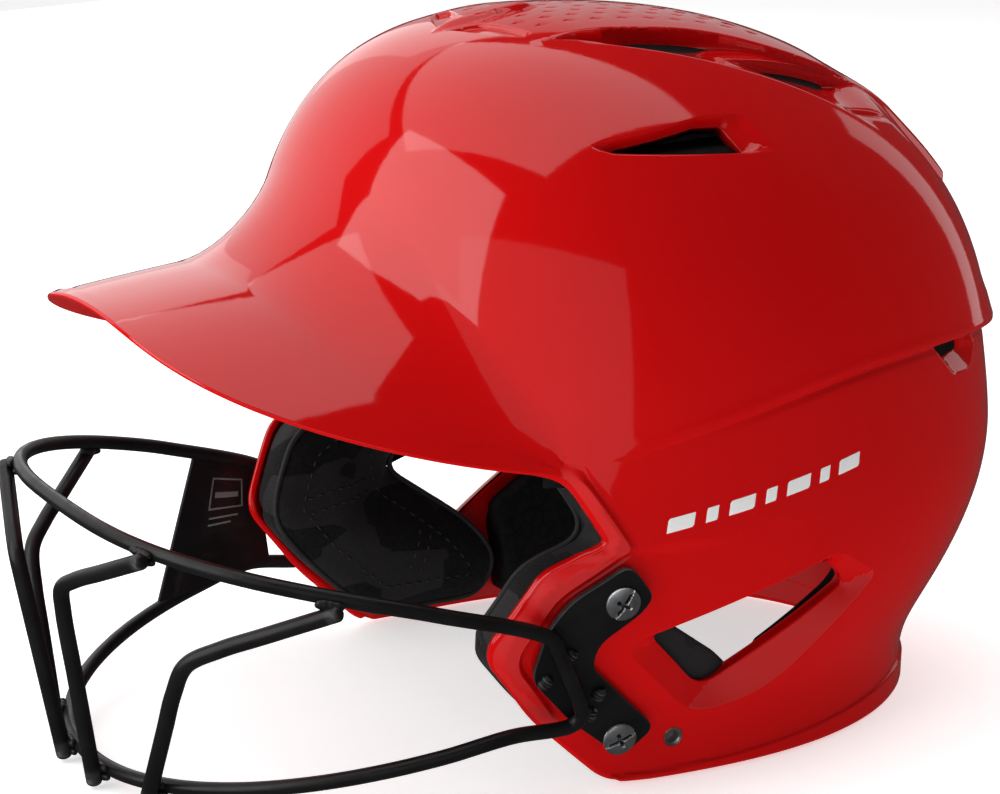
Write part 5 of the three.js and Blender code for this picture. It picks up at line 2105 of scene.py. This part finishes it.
loop = loop_path()
fit(add_piece("face_guard_loop", *sweep(loop, WIRE_RADIUS, True, 24), [wire_black]), "mask_wire", "mask_loop")
for upright in UPRIGHTS:
    name = upright["name"]
    bar, node = f"face_guard_bar_{name}_{{side}}", f"mask_bar_{name}_{{side}}"
    add_pair(bar, upright_parts(upright), [wire_black], "mask_wire", node)
add_pair("side_plate_{side}", plate_parts(), [plate_black], "mask_plate", "mask_plate_{side}", crease=CRISP)
label = add_piece("label_plate", *flipped(*label_plate()), [plate_black], crease=SHARP)
fit(label, "mask_plate", "mask_label_plate")
sticker, sticker_slots = label_parts()
sticker_inks = [sticker_black, sticker_grey]
fit(add_piece("label_sticker", *flipped(*sticker), sticker_inks, sticker_slots), "mask_plate")
for (y, z), place_name, spin in zip(SCREW_PLACES, ("upper", "lower"), (1.1, 0.45)):
    bolt, bolt_slots = screw_parts(y, z, spin)
    node = f"screw_{{side}}_{place_name}"
    add_pair(f"bolt_{{side}}_{place_name}", bolt, [steel, recess_painted_shade], "screw", node, bolt_slots, SHARP)
    node = f"t_nut_{{side}}_{place_name}"
    add_pair(f"tee_nut_{{side}}_{place_name}", nut_parts(y, z), [steel], "nut", node, crease=SHARP)
sockets = insert_parts(*STRAP_PLACE)
add_pair("strap_socket_{side}", sockets, [socket_steel], "insert", "strap_insert_{side}", crease=SHARP)

layer = (LINER_INSET, LINER_THICKNESS)
front = lining_block(-50, 50, 118, 190, *layer, 90, 44, groove_columns=(0.25, 0.5, 0.75))
fit(add_piece("foam_front", *front, [foam_black]), "foam", "liner_front")
rear = lining_block(133, 227, 26, 190, *layer, 90, 90, groove_columns=(0.33, 0.67), groove_rows=(0.3, 0.62))
fit(add_piece("foam_rear", *rear, [foam_black]), "foam", "liner_rear")
side = lining_block(54, 129, 98, 190, *layer, 70, 50, groove_columns=(0.36, 0.7), groove_rows=(0.5,))
add_pair("foam_side_{side}", [side], [foam_black], "foam", "liner_side_{side}")
add_pair("foam_flank_{side}", [flank_block()], [foam_black], "foam", "liner_flank_{side}")
crown = crown_block(LINER_INSET, LINER_THICKNESS, CROWN_LINER_Z, 120, 40, 6)
fit(add_piece("foam_crown", *crown, [foam_black]), "foam", "liner_crown")

MARK_START = (-33.0, 84.0)
MARK_END = (35.8, 95.0)
MARK_HEIGHT = 4.6
MARK_LENGTHS = (9.0, 4.0, 9.0, 4.0, 9.0, 4.0, 9.0)
MARK_SLANT = 1.4
MARK_RISE = 0.14


def mark_parts():
    """A plain row of slanted bars, long and short in turn, printed along the side."""
    start, end = np.array(MARK_START), np.array(MARK_END)
    along = unit(end - start)
    up = np.array([-along[1], along[0]])
    length = np.linalg.norm(end - start)
    gap = (length - sum(MARK_LENGTHS)) / (len(MARK_LENGTHS) - 1)
    parts = []
    at = 0.0
    for long in MARK_LENGTHS:
        u, v = [g.ravel() for g in np.meshgrid(np.linspace(0, 1, 14), np.linspace(0, 1, 7), indexing="ij")]
        spot = start + np.outer(at + u * long + v * MARK_SLANT, along) + np.outer(v * MARK_HEIGHT, up)
        flat = flat_from_side(spot)
        border = np.minimum(np.minimum(u, 1 - u) * long, np.minimum(v, 1 - v) * MARK_HEIGHT)
        rise = np.where(border > 0.01, MARK_RISE, -0.05)
        points = moulded(flat) + base_normal(flat) * rise[:, None]
        parts.append((points, grid_quads(np.arange(len(u)).reshape(14, 7)).tolist()))
        at += long + gap
    return parts


mark_points, mark_faces = join_parts(mark_parts())
for side in SIDES:
    if side == "right":
        mark_points, mark_faces = flipped(mark_points, mark_faces)
    fit(add_piece(f"side_mark_{side}", mark_points, mark_faces, [mark_white]), "shell")


def fit_pad(made, name, node):
    """Places a padded piece and the trim sewn to it."""
    piece, trim = made
    fit(piece, "pad_fabric", node)
    points, faces = join_parts(trim)
    fit(add_piece(f"{name}_trim", points, faces, [trim_black]), "pad_fabric")


trim_black = coated_black("trim_black", (0.016, 0.016, 0.017), 0.6, 700.0, 0.03)
for side in SIDES:
    fit_pad(make_ear_pad(side), f"ear_cushion_{side}", f"ear_pad_{side}")
brow = make_lining_pad("brow_cushion", -38, 38, 122, 152, (340, 0, 20))
fit_pad(brow, "brow_cushion", "brow_pad")
nape = make_lining_pad("nape_cushion", 148, 212, 32, 84, (170, 190))
fit_pad(nape, "nape_cushion", "nape_pad")
fit_pad(make_crown_pad(), "crown_cushion", "crown_pad")

# ---- Studio -----------------------------------------------------------------------------------------
def soft_box(name, place_at, aim_at, width, height, radiance):
    """An area light whose face has a given brightness, whatever its size."""
    data = bpy.data.lights.new(name, "AREA")
    data.shape = "RECTANGLE"
    data.size = width
    data.size_y = height
    data.energy = radiance * PI * width * height
    light = bpy.data.objects.new(name, data)
    light.location = place_at
    light.rotation_mode = "QUATERNION"
    light.rotation_quaternion = (Vector(aim_at) - Vector(place_at)).to_track_quat("-Z", "Y")
    light.visible_camera = False
    bpy.context.scene.collection.objects.link(light)
    return light


def make_studio():
    scene = bpy.context.scene
    scene.view_settings.view_transform = "Standard"
    world = bpy.data.worlds.new("studio")
    world.use_nodes = True
    background = world.node_tree.nodes["Background"]
    background.inputs["Color"].default_value = (1, 1, 1, 1)
    background.inputs["Strength"].default_value = 0.05
    scene.world = world
    mesh = bpy.data.meshes.new("floor")
    half = 6.0
    corners = [(-half, -half, 0), (half, -half, 0), (half, half, 0), (-half, half, 0)]
    mesh.from_pydata(corners, [], [(0, 1, 2, 3)])
    floor = bpy.data.objects.new("floor", mesh)
    floor.location.z = -0.0005
    scene.collection.objects.link(floor)
    paint = Paint("floor_white", (0.9, 0.9, 0.9), 0.7)
    paint.set("Base Color", paint.colour(paint.noise(3.0), (0.88, 0.88, 0.88), (0.92, 0.92, 0.92)))
    paint.shader.inputs["Emission Color"].default_value = (1, 1, 1, 1)
    paint.shader.inputs["Emission Strength"].default_value = 0.55
    mesh.materials.append(paint.material)
    floor.visible_glossy = False
    middle = (0.0, 0.0, 0.12)
    soft_box("front_box", (-0.03, -1.02, 0.54), middle, 1.15, 1.15, 2.5)
    soft_box("side_panel", (1.12, -0.92, 0.40), middle, 1.9, 1.0, 0.42)
    soft_box("top_box", (-0.35, -0.15, 1.9), middle, 2.4, 2.4, 1.4)
    soft_box("far_box", (-1.25, -0.25, 0.55), middle, 1.6, 1.2, 0.9)
    soft_box("back_box", (-1.0, 0.62, 0.62), middle, 1.2, 0.8, 0.45)
    fill = soft_box("rear_fill", (-0.2, 1.2, 1.1), middle, 1.2, 0.9, 1.5)
    fill.visible_glossy = False
    soft_box("rear_strip", (-0.36, 1.25, 0.34), middle, 0.2, 0.8, 0.7)


make_studio()
